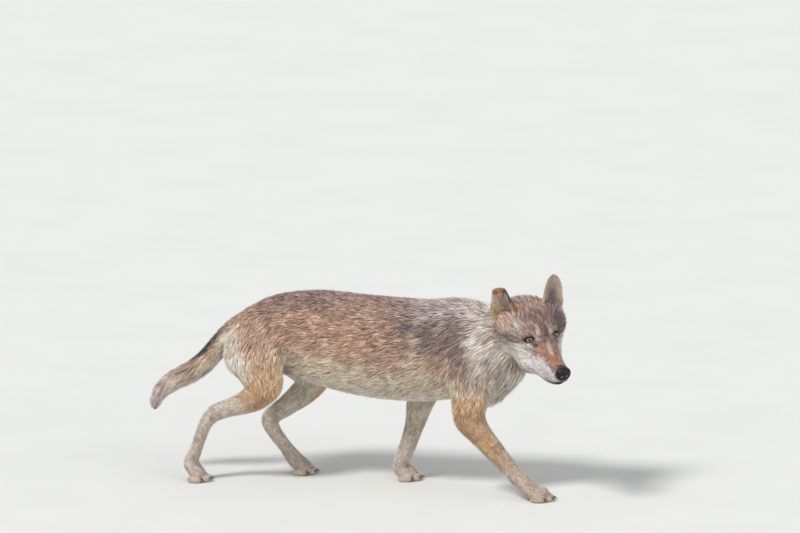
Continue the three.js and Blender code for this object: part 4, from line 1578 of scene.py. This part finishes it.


class Coat:
    """All the tufts."""

    TUFT_PATCH = 0.003  # a tuft's width on the map
    LENGTHS = (3.0, 8.0, 14.0, 24.0, 44.0, 62.0)
    SPACINGS = (1.5, 1.9, 2.3, 2.8, 3.15, 3.3)
    WIDTHS = (0.9, 1.3, 1.7, 2.3, 2.9, 3.2)
    HABIT = Habit()
    TONES = TuftTones()
    SKIN_SHADE = (0.6, 0.3)  # painted shade: how dark the skin is painted under the coat, and what is added on the ears, whose tufts are short
    SAG = 0.45  # how strongly long hair hangs
    SAGGING = (20.0, 50.0)  # it sets in between these lengths
    FRINGE = 10.0  # how much longer the hair of the belly's underside is
    UNDERNEATH = (-0.2, -0.8)
    DEPTHS = (1.0, 30.0)
    LOW_EAR = (0.5, 0.1)
    EAR_LENGTHS = (9.0, 15.0)  # on the whole ear, and what is added near its root
    EAR_DEPTHS = (2.0, 6.0)
    SOLE_TOP, SOLE_FACING = 7.0, -0.5
    BARE_LIDS = (-3.4, -2.0)
    EYE_BACK = -0.4  # the lids are bare in front of this place, in radii of the eyeball
    BARE_LIPS = 1.8
    NOSE_EDGE = (0.99, 1.06)
    SHOULDERS_FROM, RUMP_FROM = 170.0, -110.0  # where one piece of the coat gives way to the next
    RUFF_SHARE = 0.4
    FACE_FROM = -46.0  # in the head's frame
    FORE_LEG_TOP, HIND_LEG_TOP, THIGH_TOP = 262.0, 290.0, 400.0

    def __init__(self, skin: Skin, body: Body, ears: Ears, markings: Markings) -> None:
        """Surveys the skin, paints it and grows the coat's pieces on it."""
        self.dice = np.random.default_rng(20)
        self.body = body
        mesh = skin.made.data
        self.points, self.normals = places_of(mesh), normals_of(mesh)
        survey = body.survey(self.points)
        touch = ears.touch(self.points, self.normals, survey)
        hue = markings.at(self.points, survey, touch)
        head = into_head(self.points)
        self.flow = self._flow(survey, touch)
        self.length, self.depth = self._lengths(survey, touch)
        self.density = self._density(head)
        self.colour, self.dark_tips = hue.base, hue.dark_tips
        self.zone = self._zones(survey, touch, head)
        # The skin is painted darker than the coat, as the shade that the tufts cast on it
        painted_shade, on_ears = self.SKIN_SHADE
        paint(mesh, hue.base * (painted_shade + on_ears * touch.share)[:, None])
        roots = self._rooted(mesh)
        LOG.info("coat: %d tufts", len(roots.place))
        self.pieces = [self._piece(zone, number, roots) for number, zone in enumerate(ZONES)]

    def _flow(self, survey: Survey, touch: EarTouch) -> Array:
        """Works out the lie of the coat along the skin."""
        flow = survey.flow.copy()
        flow[:, 2] -= self.SAG * smooth_step(survey.length, *self.SAGGING)
        flow = flow * (1 - touch.share)[:, None] + touch.flow * touch.share[:, None]
        return unit(flow - self.normals * dots(flow, self.normals)[:, None])

    def _lengths(self, survey: Survey, touch: EarTouch) -> tuple[Array, Array]:
        """Works out the hairs' length and the coat's depth."""
        low = smooth_step(self.normals[:, 2], *self.UNDERNEATH) * (1 - survey.shares["head"])
        length = survey.length + self.FRINGE * low * survey.shares["trunk"]
        depth = np.clip(-survey.distance, *self.DEPTHS)
        low_ear = smooth_step(touch.rise, *self.LOW_EAR)
        (ear_length, more_length), (ear_depth, more_depth) = self.EAR_LENGTHS, self.EAR_DEPTHS
        length = length * (1 - touch.share) + (ear_length + more_length * low_ear) * touch.share
        depth = depth * (1 - touch.share) + (ear_depth + more_depth * low_ear) * touch.share
        return length, np.maximum(depth, self.DEPTHS[0])

    def _density(self, head: Array) -> Array:
        """Works out how many tufts grow on a square mm: none on soles, lids, lips and nose."""
        density = 1.0 / np.interp(self.length, self.LENGTHS, self.SPACINGS) ** 2
        density[(self.points[:, 2] < self.SOLE_TOP) & (self.normals[:, 2] < self.SOLE_FACING)] = 0.0
        for side in Side:
            local = (head - EYE.middle(side)) @ EYE.axes(side).T
            in_front = local[:, 2] > EYE.radius * self.EYE_BACK
            density *= 1.0 - smooth_step(EYE.opening(local), *self.BARE_LIDS) * in_front
        density *= 1.0 - np.clip(MOUTH.nearness(head) * self.BARE_LIPS, 0, 1)
        return density * smooth_step(NosePad().nearness(head), *self.NOSE_EDGE)

    def _zones(self, survey: Survey, touch: EarTouch, head: Array) -> Array:
        """Sorts the skin's vertices into the coat's pieces. A later rule outweighs an earlier one."""
        x, y, z = self.points.T
        shares = survey.shares
        fore = shares["fore_right"] + shares["fore_left"] > MOSTLY
        hind = shares["hind_right"] + shares["hind_left"] > MOSTLY
        rules = {
            "coat_flank_left": y >= 0,
            "coat_flank_right": y < 0,
            "coat_shoulders": x > self.SHOULDERS_FROM,
            "coat_rump": x < self.RUMP_FROM,
            "coat_ruff": (shares["neck"] > MOSTLY) | (shares["head"] > self.RUFF_SHARE),
            "coat_face": (shares["head"] > MOSTLY) & (head[:, 0] > self.FACE_FROM),
            "coat_tail": shares["tail"] > MOSTLY,
            "coat_fore_legs": fore & (z < self.FORE_LEG_TOP),
            "coat_thighs": hind & (z < self.THIGH_TOP),
            "coat_hind_legs": hind & (z < self.HIND_LEG_TOP),
            "coat_ears": touch.share > MOSTLY,
        }
        zone = np.zeros(len(x), int)
        for name, inside in rules.items():
            zone[inside] = ZONE_NUMBER[name]
        return zone

    def _rooted(self, mesh: Mesh) -> Roots:
        """Scatters the tufts' roots evenly over the skin."""
        corners = rows_of(mesh.loops, "vertex_index", 1, np.int32).reshape(-1, 3)
        map_places = rows_of(mesh.uv_layers["OFBake"].uv, "vector", 2).reshape(-1, 3, 2)
        a, b, c = (self.points[corners[:, n]] for n in range(3))
        area = norms(np.cross(b - a, c - a)) / 2.0
        expected = np.cumsum(area * self.density[corners].mean(axis=1))
        count = int(expected[-1])
        face = np.searchsorted(expected, np.arange(count) + self.dice.uniform(0, 1, count))
        face = np.minimum(face, len(corners) - 1)
        first, second = self.dice.uniform(0, 1, (2, count))
        root = np.sqrt(first)
        share = np.stack((1 - root, root * (1 - second), root * second), axis=1)
        chosen = corners[face]

        def mixed(values: Array) -> Array:
            """Mixes a vertex property over each root's triangle."""
            if values.ndim == 1:
                return (values[chosen] * share).sum(axis=1)
            return (values[chosen] * share[:, :, None]).sum(axis=1)

        return Roots(
            mixed(self.points),
            *(unit(mixed(ways)) for ways in (self.normals, self.flow)),
            *(mixed(values) for values in (self.depth, self.length, self.colour, self.dark_tips)),
            (map_places[face] * share[:, :, None]).sum(axis=1),
            self.zone[chosen[np.arange(count), np.argmax(share, axis=1)]],
        )

    def _piece(self, zone: Zone, number: int, roots: Roots) -> Object:
        """Grows one zone's tufts."""
        mine = roots.zone == number
        pick = Roots(**{name: value[mine] for name, value in vars(roots).items()})
        count, dice, habit = len(pick.place), self.dice, self.HABIT
        swirl = Ripple(habit.swirl_size, seed=40).at(pick.place) * habit.swirl
        swirl += dice.normal(0, habit.turn, count)
        side = unit(np.cross(pick.normal, pick.flow))
        flow = pick.flow * np.cos(swirl)[:, None] + side * np.sin(swirl)[:, None]
        length = pick.length * dice.uniform(*habit.lengths, count)
        rise = np.minimum(pick.depth * dice.uniform(*habit.rises, count), habit.steepest * length)
        run = np.sqrt(length**2 - rise**2) * habit.slack
        tip = pick.place + flow * run[:, None] + pick.normal * rise[:, None]
        leader = self._leaders(pick.place)
        gathered = tip[leader] + habit.spread * (pick.place - pick.place[leader])
        pull = zone.clump * dice.uniform(*habit.leaning, count)
        tip += (gathered - tip) * pull[:, None]
        if zone.name != "coat_ears":
            outside = self.body.distance(tip)
            strays = dice.uniform(0, 1, count) < habit.strays
            stray = np.where(strays, dice.uniform(*habit.stray_reach, count), 0.0)
            room = (stray - dice.uniform(*habit.short_of_outline, count)) * pick.depth
            tip -= pick.normal * np.clip(outside - room, *habit.drop)[:, None]
        bow = habit.bow if zone.curved else 0.0
        middle = pick.place + (tip - pick.place) * TuftPattern.BEND_AT + pick.normal * (bow * rise)[:, None]
        width = np.interp(pick.length, self.LENGTHS, self.WIDTHS) * dice.uniform(*habit.widths, count)
        start = pick.place - pick.normal * habit.root_depth
        colours = self._tuft_colours(pick, leader)
        return self._built(zone, pick, (start, middle, tip), width, colours)

    def _leaders(self, places: Array) -> Array:
        """Finds, for each tuft, the one near it that its tip leans to."""
        chosen = np.flatnonzero(self.dice.uniform(0, 1, len(places)) < self.HABIT.leaders)
        tree = KDTree(len(chosen))
        for index in chosen:
            tree.insert(places[index], int(index))
        tree.balance()
        return np.array([tree.find(place)[1] for place in places])

    def _tuft_colours(self, pick: Roots, leader: Array) -> tuple[Array, Array, Array]:
        """Gives the colours at the root, halfway and at the tip of each tuft, with painted shade on the
        roots.
        """
        count, dice, tones, dark_hair = len(leader), self.dice, self.TONES, linear(DARK)
        locks = dice.normal(0, 1, count)[leader]
        tone = 1.0 + tones.by_lock * locks + tones.by_tuft * dice.normal(0, 1, count)
        borrowed = (dice.uniform(0, 1, count) < tones.borrowed)[:, None]
        base = np.where(borrowed, pick.colour[leader], pick.colour)
        base = base * np.clip(tone, *tones.limits)[:, None]
        chance = tones.own_chance * dice.uniform(0, 1, count)
        chance += (1 - tones.own_chance) * dice.uniform(0, 1, count)[leader]
        dark = smooth_step(chance - pick.dark_tips, tones.edge, -tones.edge)[:, None]
        pale = np.clip(base * tones.pale_tip, 0, 1)
        tip = pale + (dark_hair - pale) * dark * tones.dark_tip
        middle = base + (dark_hair - base) * dark * tones.dark_middle
        # Roots are painted darker, the more so on longer tufts, as the shade between tufts
        painted_shade = np.interp(pick.length, tones.shaded_lengths, tones.root_shades)[:, None]
        return base * painted_shade, middle, tip

    def _built(
        self,
        zone: Zone,
        pick: Roots,
        path: tuple[Array, Array, Array],
        width: Array,
        colours: tuple[Array, Array, Array],
    ) -> Object:
        """Repeats the zone's tuft along many paths as one mesh.

        Args:
            zone: The part of the coat.
            pick: Its roots.
            path: Where each tuft starts, bends and ends.
            width: Each tuft's width at its root, in mm.
            colours: Each tuft's colours at those three places.

        Returns:
            The piece, with its colours, its map and shading that follows the skin.
        """
        start, _, tip = path
        pattern = TuftPattern.made(zone.curved)
        side = unit(np.cross(pick.normal, unit(tip - pick.place)))
        count, size = len(start), len(pattern.places)
        along = pattern.places[:, 2]
        ring = np.round(along * 2).astype(int)  # 0 at the root, 1 at the bend and 2 at the tip
        at_bend = self.HABIT.full_at_bend / (1 - TuftPattern.BEND_AT)
        points, shades = np.empty((count, size, 3)), np.empty((count, size, 3))
        for number, (x, y, _) in enumerate(pattern.places):
            half = width * (at_bend if ring[number] == 1 else 1.0) / 2
            across = side * (x * half)[:, None]
            through = pick.normal * (y * half * 2 * self.HABIT.flatness)[:, None]
            points[:, number] = path[ring[number]] + across + through
            shades[:, number] = colours[ring[number]]
        loops = np.concatenate([np.array(face) for face in pattern.faces])
        sizes = np.array([len(face) for face in pattern.faces])
        mesh = bpy.data.meshes.new(zone.name)
        mesh.vertices.add(count * size)
        mesh.vertices.foreach_set("co", to_row(points.reshape(-1, 3)).astype(np.float32).ravel())
        every = (np.arange(count)[:, None] * size + loops).ravel()
        mesh.loops.add(len(every))
        mesh.loops.foreach_set("vertex_index", every.astype(np.int32))
        totals = np.tile(sizes, count)
        mesh.polygons.add(len(totals))
        mesh.polygons.foreach_set("loop_start", (np.cumsum(totals) - totals).astype(np.int32))
        mesh.polygons.foreach_set("loop_total", totals.astype(np.int32))
        mesh.polygons.foreach_set("use_smooth", [True] * len(totals))
        mesh.update(calc_edges=True)
        patch = mesh.uv_layers.new(name="OFBake")
        local = np.stack((pattern.places[loops, 0], along[loops] * 2 - 1), axis=1) * self.TUFT_PATCH / 2
        patch.uv.foreach_set("vector", (pick.uv[:, None, :] + local).astype(np.float32).ravel())
        paint(mesh, shades.reshape(-1, 3))
        soft = normals_of(mesh).reshape(count, size, 3) * self.HABIT.softness + pick.normal[:, None, :]
        mesh.normals_split_custom_set_from_vertices(unit(soft.reshape(-1, 3)))
        LOG.info("%s: %d tufts, %d triangles", zone.name, count, count * (sizes - 2).sum())
        return placed(zone.name, mesh)


# ---------- nose, eyes and claws ----------


@dataclass(frozen=True)
class NosePad:
    """The bare black pad at the muzzle's end, with its nostrils, in the head's frame. In mm."""

    middle: Triple = (148.0, 0.0, -44.0)
    radii: Triple = (17.0, 24.0, 23.0)
    segments: tuple[int, int] = (88, 64)
    broader_above: float = 0.14
    overhang: float = 2.0
    nostril: Pair = (9.0, -1.0)  # beside and above the pad's middle
    nostril_radii: Pair = (4.2, 4.6)
    nostril_depth: float = 8.0
    slit_slope: float = 0.16  # a slit runs out from each nostril and rises a little
    slit_below: float = 2.5
    slit_half_width: float = 1.6
    slit_depth: float = 3.5
    slit_start: Pair = (7.0, 11.0)
    slit_end: Pair = (23.0, 19.0)
    groove_half_width: float = 1.3  # the groove between the nostrils runs down to the lip
    groove_depth: float = 1.6
    groove_start: Pair = (8.0, -2.0)
    leather: Triple = (24, 19, 23)
    hollow: Triple = (6, 5, 6)
    darkest_from: float = 5.0  # painted shade: hollows deeper than this are as dark as can be

    def nearness(self, own: Array) -> Array:
        """Says how far places in the head's frame are from the pad's middle, 1 on its surface."""
        return norms((own - np.array(self.middle)) / np.array(self.radii))

    def _cut(self, y: Array, z: Array) -> Array:
        """Gives how deep nostrils, slits and groove are, beside and above the pad's middle."""
        beside, above = self.nostril
        wide, tall = self.nostril_radii
        hole = np.exp(-(((y - beside) / wide) ** 2) - ((z - above) / tall) ** 2)
        off_slit = z - self.slit_slope * (y - beside) + self.slit_below
        slit = np.exp(-((off_slit / self.slit_half_width) ** 2))
        slit *= smooth_step(y, *self.slit_start) * smooth_step(y, *self.slit_end)
        groove = np.exp(-((y / self.groove_half_width) ** 2)) * smooth_step(z, *self.groove_start)
        holes = self.nostril_depth * hole + self.slit_depth * slit * (1 - hole)
        return holes + self.groove_depth * groove

    def build(self) -> Object:
        """Models the pad."""
        bm = ball_mesh(*self.segments)
        own = bmesh_places(bm)
        shaped = np.array(self.middle) + own * np.array(self.radii)
        shaped[:, 1] *= 1 + self.broader_above * own[:, 2]
        shaped[:, 0] += self.overhang * own[:, 2]
        cut = self._cut(np.abs(shaped[:, 1]), shaped[:, 2] - self.middle[2]) * (own[:, 0] > 0)
        shaped -= own * cut[:, None]
        put_bmesh_places(bm, out_of_head(shaped))
        made = new_object("nose_pad", bm)
        # The leather is painted darker with each cut's depth, as shade in the nostrils, slits and groove
        dark = np.clip(cut / self.darkest_from, 0, 1)[:, None]
        paint(made.data, linear(self.leather) + (linear(self.hollow) - linear(self.leather)) * dark)
        return made


class Eyeballs:
    """Both eyeballs, with a bulging cornea."""

    SEGMENTS = (56, 48)
    CORNEA = 34.0  # degrees from the way that the eye looks to the cornea's edge
    BULGE = 1.0

    def build(self, side: Side) -> Object:
        """Models one eyeball."""
        bm = ball_mesh(*self.SEGMENTS)
        own = bmesh_places(bm)
        out = math.radians(side * EYE.gaze_out - EYE.gaze_right)
        gaze = unit(np.array((math.cos(out), math.sin(out), EYE.gaze_up)))
        level = unit(np.cross(gaze, UP))
        rise = np.cross(level, gaze)
        turned = own[:, :1] * level + own[:, 1:2] * rise + own[:, 2:] * gaze
        front = own[:, 2]
        bulge = self.BULGE * smooth_step(front, math.cos(math.radians(self.CORNEA)), 1.0)
        places = EYE.middle(side) + turned * (EYE.radius + bulge)[:, None]
        put_bmesh_places(bm, out_of_head(places))
        made = new_object(f"eyeball_{side.word}", bm)
        angle = made.data.attributes.new("from_gaze", "FLOAT", "POINT")
        degrees = np.degrees(np.arccos(np.clip(front, -1, 1)))
        angle.data.foreach_set("value", degrees.astype(np.float32))
        return made


@dataclass(frozen=True)
class ClawForm:
    """A curved claw, in mm."""

    length: float = 17.0
    radius: float = 3.4
    droop: float = 6.0
    width: float = 0.8  # in depths
    root_run: float = 6.0  # how quickly it reaches its full depth
    set_back: float = 7.5  # how far its root lies inside the toe
    rise: float = 1.0
    segments: tuple[int, int] = (14, 18)


class Claws:
    """The four claws of one paw."""

    FORM = ClawForm()

    def build(self, leg: str, toes: Sequence[Mass]) -> Object:
        """Models the claws of one leg."""
        form = self.FORM
        whole = bmesh.new()
        mesh = bpy.data.meshes.new("claw")
        for toe in toes:
            bm = ball_mesh(*form.segments)
            own = bmesh_places(bm)
            reach = (1 + own[:, 2]) / 2
            around = unit(own[:, :2])
            thick = form.radius * np.sqrt(np.clip(1 - reach, 0, 1) * np.clip(reach * form.root_run, 0, 1))
            x = toe.at[0] + TOE_RADII[0] - form.set_back + reach * form.length
            y = toe.at[1] + around[:, 0] * thick * form.width
            z = toe.at[2] + form.rise + around[:, 1] * thick - reach**2 * form.droop
            put_bmesh_places(bm, np.stack((x, y, z), axis=1))
            bm.to_mesh(mesh)
            bm.free()
            whole.from_mesh(mesh)
        bpy.data.meshes.remove(mesh)
        return new_object(f"claws_{leg}", whole)


# ---------- finishes ----------


class NodeMaker:
    """Builds one material's nodes."""

    NOISE_RANGE = (0.3, 0.7)  # nearly all of a noise lies between these

    def __init__(self, name: str) -> None:
        """Starts a material with a plain shader."""
        self.material = bpy.data.materials.new(name)
        self.material.use_nodes = True
        self.nodes = self.material.node_tree.nodes
        self.links = self.material.node_tree.links
        self.shader = self.nodes["Principled BSDF"]

    def add(self, kind: str, **settings: object) -> Node:
        """Adds a node and sets its properties."""
        node = self.nodes.new(kind)
        for name, value in settings.items():
            setattr(node, name, value)
        return node

    def set(self, **values: object) -> None:
        """Sets the shader's own sockets. Underscores stand for spaces."""
        for name, value in values.items():
            self.shader.inputs[name.replace("_", " ")].default_value = value

    def place(self) -> Socket:
        """Gives the object's own coordinates."""
        return self.add("ShaderNodeTexCoord").outputs["Object"]

    def noise(self, scale: float, detail: float = 2.0) -> Node:
        """Adds a noise on the object's own coordinates."""
        node = self.add("ShaderNodeTexNoise")
        node.inputs["Scale"].default_value = scale
        node.inputs["Detail"].default_value = detail
        self.links.new(self.place(), node.inputs["Vector"])
        return node

    def bump(self, height: Socket, distance: float, strength: float) -> None:
        """Lets a height raise the surface."""
        node = self.add("ShaderNodeBump")
        node.inputs["Distance"].default_value = distance
        node.inputs["Strength"].default_value = strength
        self.links.new(height, node.inputs["Height"])
        self.links.new(node.outputs["Normal"], self.shader.inputs["Normal"])

    def attribute(self, name: str) -> Node:
        """Reads an attribute of the mesh."""
        return self.add("ShaderNodeAttribute", attribute_name=name)

    def ramp(self, share: Socket, stops: Sequence[tuple[float, Triple]]) -> Socket:
        """Turns a share of 0 to 1 into colours that pass from stop to stop."""
        node = self.add("ShaderNodeValToRGB")
        ends = node.color_ramp.elements
        for place, _ in stops[1:-1]:
            ends.new(place)
        for stop, (place, colour) in zip(ends, stops, strict=True):
            stop.position, stop.color = place, (*linear(colour), 1.0)
        self.links.new(share, node.inputs["Fac"])
        return node.outputs["Color"]

    def mottled(self, colour: Socket, noise: Node, low: float, high: float) -> None:
        """Lets a noise darken and lighten a colour, and gives it to the shader."""
        span = self.add("ShaderNodeMapRange")
        limits = ("From Min", "From Max", "To Min", "To Max")
        for name, value in zip(limits, (*self.NOISE_RANGE, low, high), strict=True):
            span.inputs[name].default_value = value
        self.links.new(noise.outputs["Fac"], span.inputs["Value"])
        scaled = self.add("ShaderNodeVectorMath", operation="SCALE")
        self.links.new(colour, scaled.inputs[0])
        self.links.new(span.outputs["Result"], scaled.inputs["Scale"])
        self.links.new(scaled.outputs["Vector"], self.shader.inputs["Base Color"])


@dataclass(frozen=True)
class HairFinish:
    """Dry outer hair: matt, with a little sheen, in the colours stored on the mesh."""

    roughness: float = 0.62
    specular: float = 0.22
    sheen: float = 0.25
    sheen_roughness: float = 0.5
    noise: float = 160.0
    tones: Pair = (0.92, 1.08)

    def material(self) -> Material:
        """Builds the material."""
        made = NodeMaker("wolf_hair")
        made.set(Roughness=self.roughness, Specular_IOR_Level=self.specular)
        made.set(Sheen_Weight=self.sheen, Sheen_Roughness=self.sheen_roughness)
        made.mottled(made.attribute("coat").outputs["Color"], made.noise(self.noise), *self.tones)
        return made.material


@dataclass(frozen=True)
class SkinFinish:
    """Short flat underfur over the skin, drawn as bump."""

    roughness: float = 0.8
    specular: float = 0.15
    noise: float = 700.0
    detail: float = 4.0
    tones: Pair = (0.85, 1.15)
    height: float = 0.0012
    strength: float = 0.6

    def material(self) -> Material:
        """Builds the material."""
        made = NodeMaker("wolf_underfur")
        made.set(Roughness=self.roughness, Specular_IOR_Level=self.specular)
        fine = made.noise(self.noise, self.detail)
        made.mottled(made.attribute("coat").outputs["Color"], fine, *self.tones)
        made.bump(fine.outputs["Fac"], self.height, self.strength)
        return made.material


@dataclass(frozen=True)
class NoseFinish:
    """Moist black leather with a fine pebble."""

    roughness: float = 0.36
    specular: float = 0.32
    pebbles: float = 520.0
    noise: float = 260.0
    tones: Pair = (0.8, 1.2)
    height: float = 0.0008
    strength: float = 0.5

    def material(self) -> Material:
        """Builds the material."""
        made = NodeMaker("wolf_nose")
        made.set(Roughness=self.roughness, Specular_IOR_Level=self.specular)
        cells = made.add("ShaderNodeTexVoronoi", feature="DISTANCE_TO_EDGE")
        cells.inputs["Scale"].default_value = self.pebbles
        made.links.new(made.place(), cells.inputs["Vector"])
        made.mottled(made.attribute("coat").outputs["Color"], made.noise(self.noise), *self.tones)
        made.bump(cells.outputs["Distance"], self.height, self.strength)
        return made.material


@dataclass(frozen=True)
class EyeFinish:
    """Pupil, amber iris with a dark rim, and dark white of the eye under a wet surface."""

    roughness: float = 0.12
    specular: float = 0.2
    coat: float = 0.1
    coat_roughness: float = 0.02
    whole: float = 60.0  # the colours run out to this many degrees from the way that the eye looks
    stops: tuple[tuple[float, Triple], ...] = (
        (0.0, (6, 5, 5)),
        (13.8, (6, 5, 5)),
        (15.2, (140, 114, 78)),
        (20.5, (196, 172, 128)),
        (36.0, (180, 150, 104)),
        (40.0, (110, 84, 52)),
        (42.0, (22, 16, 14)),
        (60.0, (60, 44, 38)),
    )
    noise: float = 900.0
    detail: float = 3.0
    tones: Pair = (0.8, 1.15)

    def material(self) -> Material:
        """Builds the material."""
        made = NodeMaker("wolf_eye")
        made.set(Roughness=self.roughness, Specular_IOR_Level=self.specular)
        made.set(Coat_Weight=self.coat, Coat_Roughness=self.coat_roughness)
        share = made.add("ShaderNodeMath", operation="DIVIDE")
        share.inputs[1].default_value = self.whole
        made.links.new(made.attribute("from_gaze").outputs["Fac"], share.inputs[0])
        stops = [(degrees / self.whole, colour) for degrees, colour in self.stops]
        colour = made.ramp(share.outputs["Value"], stops)
        made.mottled(colour, made.noise(self.noise, self.detail), *self.tones)
        return made.material


@dataclass(frozen=True)
class ClawFinish:
    """Dark horn with long streaks."""

    roughness: float = 0.38
    stops: tuple[tuple[float, Triple], ...] = ((0.0, (40, 32, 28)), (1.0, (92, 76, 64)))
    noise: float = 240.0
    detail: float = 3.0
    height: float = 0.0004
    strength: float = 0.4

    def material(self) -> Material:
        """Builds the material."""
        made = NodeMaker("wolf_claw")
        made.set(Roughness=self.roughness)
        streaks = made.noise(self.noise, self.detail).outputs["Fac"]
        made.links.new(made.ramp(streaks, self.stops), made.shader.inputs["Base Color"])
        made.bump(streaks, self.height, self.strength)
        return made.material


@dataclass(frozen=True)
class FloorFinish:
    """A plain pale floor with the faintest unevenness."""

    colour: Triple = (222, 222, 218)
    roughness: float = 0.9
    specular: float = 0.1
    noise: float = 3.0
    tones: Pair = (0.985, 1.015)

    def material(self) -> Material:
        """Builds the material."""
        made = NodeMaker("studio_floor")
        made.set(Roughness=self.roughness, Specular_IOR_Level=self.specular)
        tone = made.add("ShaderNodeCombineColor")
        for channel, value in zip(("Red", "Green", "Blue"), linear(self.colour), strict=True):
            tone.inputs[channel].default_value = value
        made.mottled(tone.outputs["Color"], made.noise(self.noise), *self.tones)
        return made.material


# ---------- studio ----------


@dataclass(frozen=True)
class Sun:
    """A wide, soft sun that shines towards a direction."""

    name: str
    towards: Triple
    strength: float
    degrees: float  # how wide it is

    def shine(self) -> None:
        """Sets the sun up."""
        data = bpy.data.lights.new(self.name, "SUN")
        data.energy = self.strength
        data.angle = math.radians(self.degrees)
        placed(self.name, data, self.towards)


@dataclass(frozen=True)
class Studio:
    """The floor, the lights and the camera."""

    azimuth: float = 15.0
    elevation: float = 12.0
    distance: float = 60000.0
    nearer: float = 150.0  # the plane through the wolf that mm_per_pixel holds for, in mm
    mm_per_pixel: float = 2.95
    image_width: float = 800.0
    aim_across: float = 123.9  # what the camera looks at, along its own axes, in mm
    aim_up: float = 641.6
    sensor: float = 36.0
    far_clip: float = 200.0  # in metres, as the floor's half width is
    floor_half: float = 90.0
    suns: tuple[Sun, ...] = (
        Sun("key", (0.45, 0.75, -1.0), 2.4, 14.0),
        Sun("fill", (-0.9, 0.35, -0.5), 0.7, 60.0),
    )
    sky: tuple[float, ...] = (0.93, 0.96, 1.0, 1.0)
    sky_strength: float = 0.52

    def camera(self) -> None:
        """Places the camera."""
        turn, rise = math.radians(self.azimuth), math.radians(self.elevation)
        right = np.array((math.cos(turn), math.sin(turn), 0.0))
        up = np.array((-math.sin(rise) * math.sin(turn), math.sin(rise) * math.cos(turn), math.cos(rise)))
        back = np.array((math.sin(turn) * math.cos(rise), -math.cos(turn) * math.cos(rise), math.sin(rise)))
        aim = self.aim_across * right + self.aim_up * up
        data = bpy.data.cameras.new("camera")
        data.sensor_width = self.sensor
        data.lens = self.sensor * (self.distance - self.nearer) / (self.mm_per_pixel * self.image_width)
        data.clip_end = self.far_clip
        made = placed("camera", data, -back)
        made.location = Vector(to_row(aim + back * self.distance))
        bpy.context.scene.camera = made

    def floor(self) -> None:
        """Lays the floor."""
        bm = bmesh.new()
        bmesh.ops.create_grid(bm, x_segments=1, y_segments=1, size=self.floor_half)
        made = new_object("floor", bm, smooth=False)
        made.data.materials.append(FloorFinish().material())

    def lights(self) -> None:
        """Sets a soft key from above and in front, a fill and an even sky."""
        for sun in self.suns:
            sun.shine()
        world = bpy.data.worlds.new("studio")
        world.use_nodes = True
        sky = world.node_tree.nodes["Background"]
        sky.inputs["Color"].default_value = self.sky
        sky.inputs["Strength"].default_value = self.sky_strength
        bpy.context.scene.world = world
        bpy.context.scene.view_settings.view_transform = "Standard"


# ---------- putting it together ----------


def finished(piece: Object, material: Material, nodes: Iterable[str] = ()) -> None:
    """Gives a piece its finish, ties it to the body and hides the nodes that it stands for."""
    piece.data.materials.clear()
    piece.data.materials.append(material)
    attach(piece, "root")
    if nodes:
        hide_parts(*nodes)
    LOG.info("finished %s", piece.name)


def main() -> None:
    """Builds the wolf and its studio."""
    logging.basicConfig(level=logging.INFO, format="%(relativeCreated)7d ms %(message)s")
    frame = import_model()
    studio = Studio()
    studio.camera()
    studio.floor()
    studio.lights()
    body, ears = Body(), Ears()
    skin = Skin(frame, body, ears)
    finished(skin.made, SkinFinish().material(), FLESH + EAR_NODES)
    coat = Coat(skin, body, ears, Markings())
    hair = HairFinish().material()
    for piece in coat.pieces:
        finished(piece, hair)
    finished(NosePad().build(), NoseFinish().material(), ("nose",))
    eye = EyeFinish().material()
    for side in Side:
        finished(Eyeballs().build(side), eye, (f"eye_{side.word}",))
    horn = ClawFinish().material()
    toe_count = len(TOE_PLACES)
    for number, leg in enumerate(LEG_NAMES):
        toes = body.toes[number * toe_count : (number + 1) * toe_count]
        nodes = [f"claw_{leg}_{toe}" for toe in range(1, toe_count + 1)]
        finished(Claws().build(leg, toes), horn, nodes)


if __name__ == "__main__":
    main()
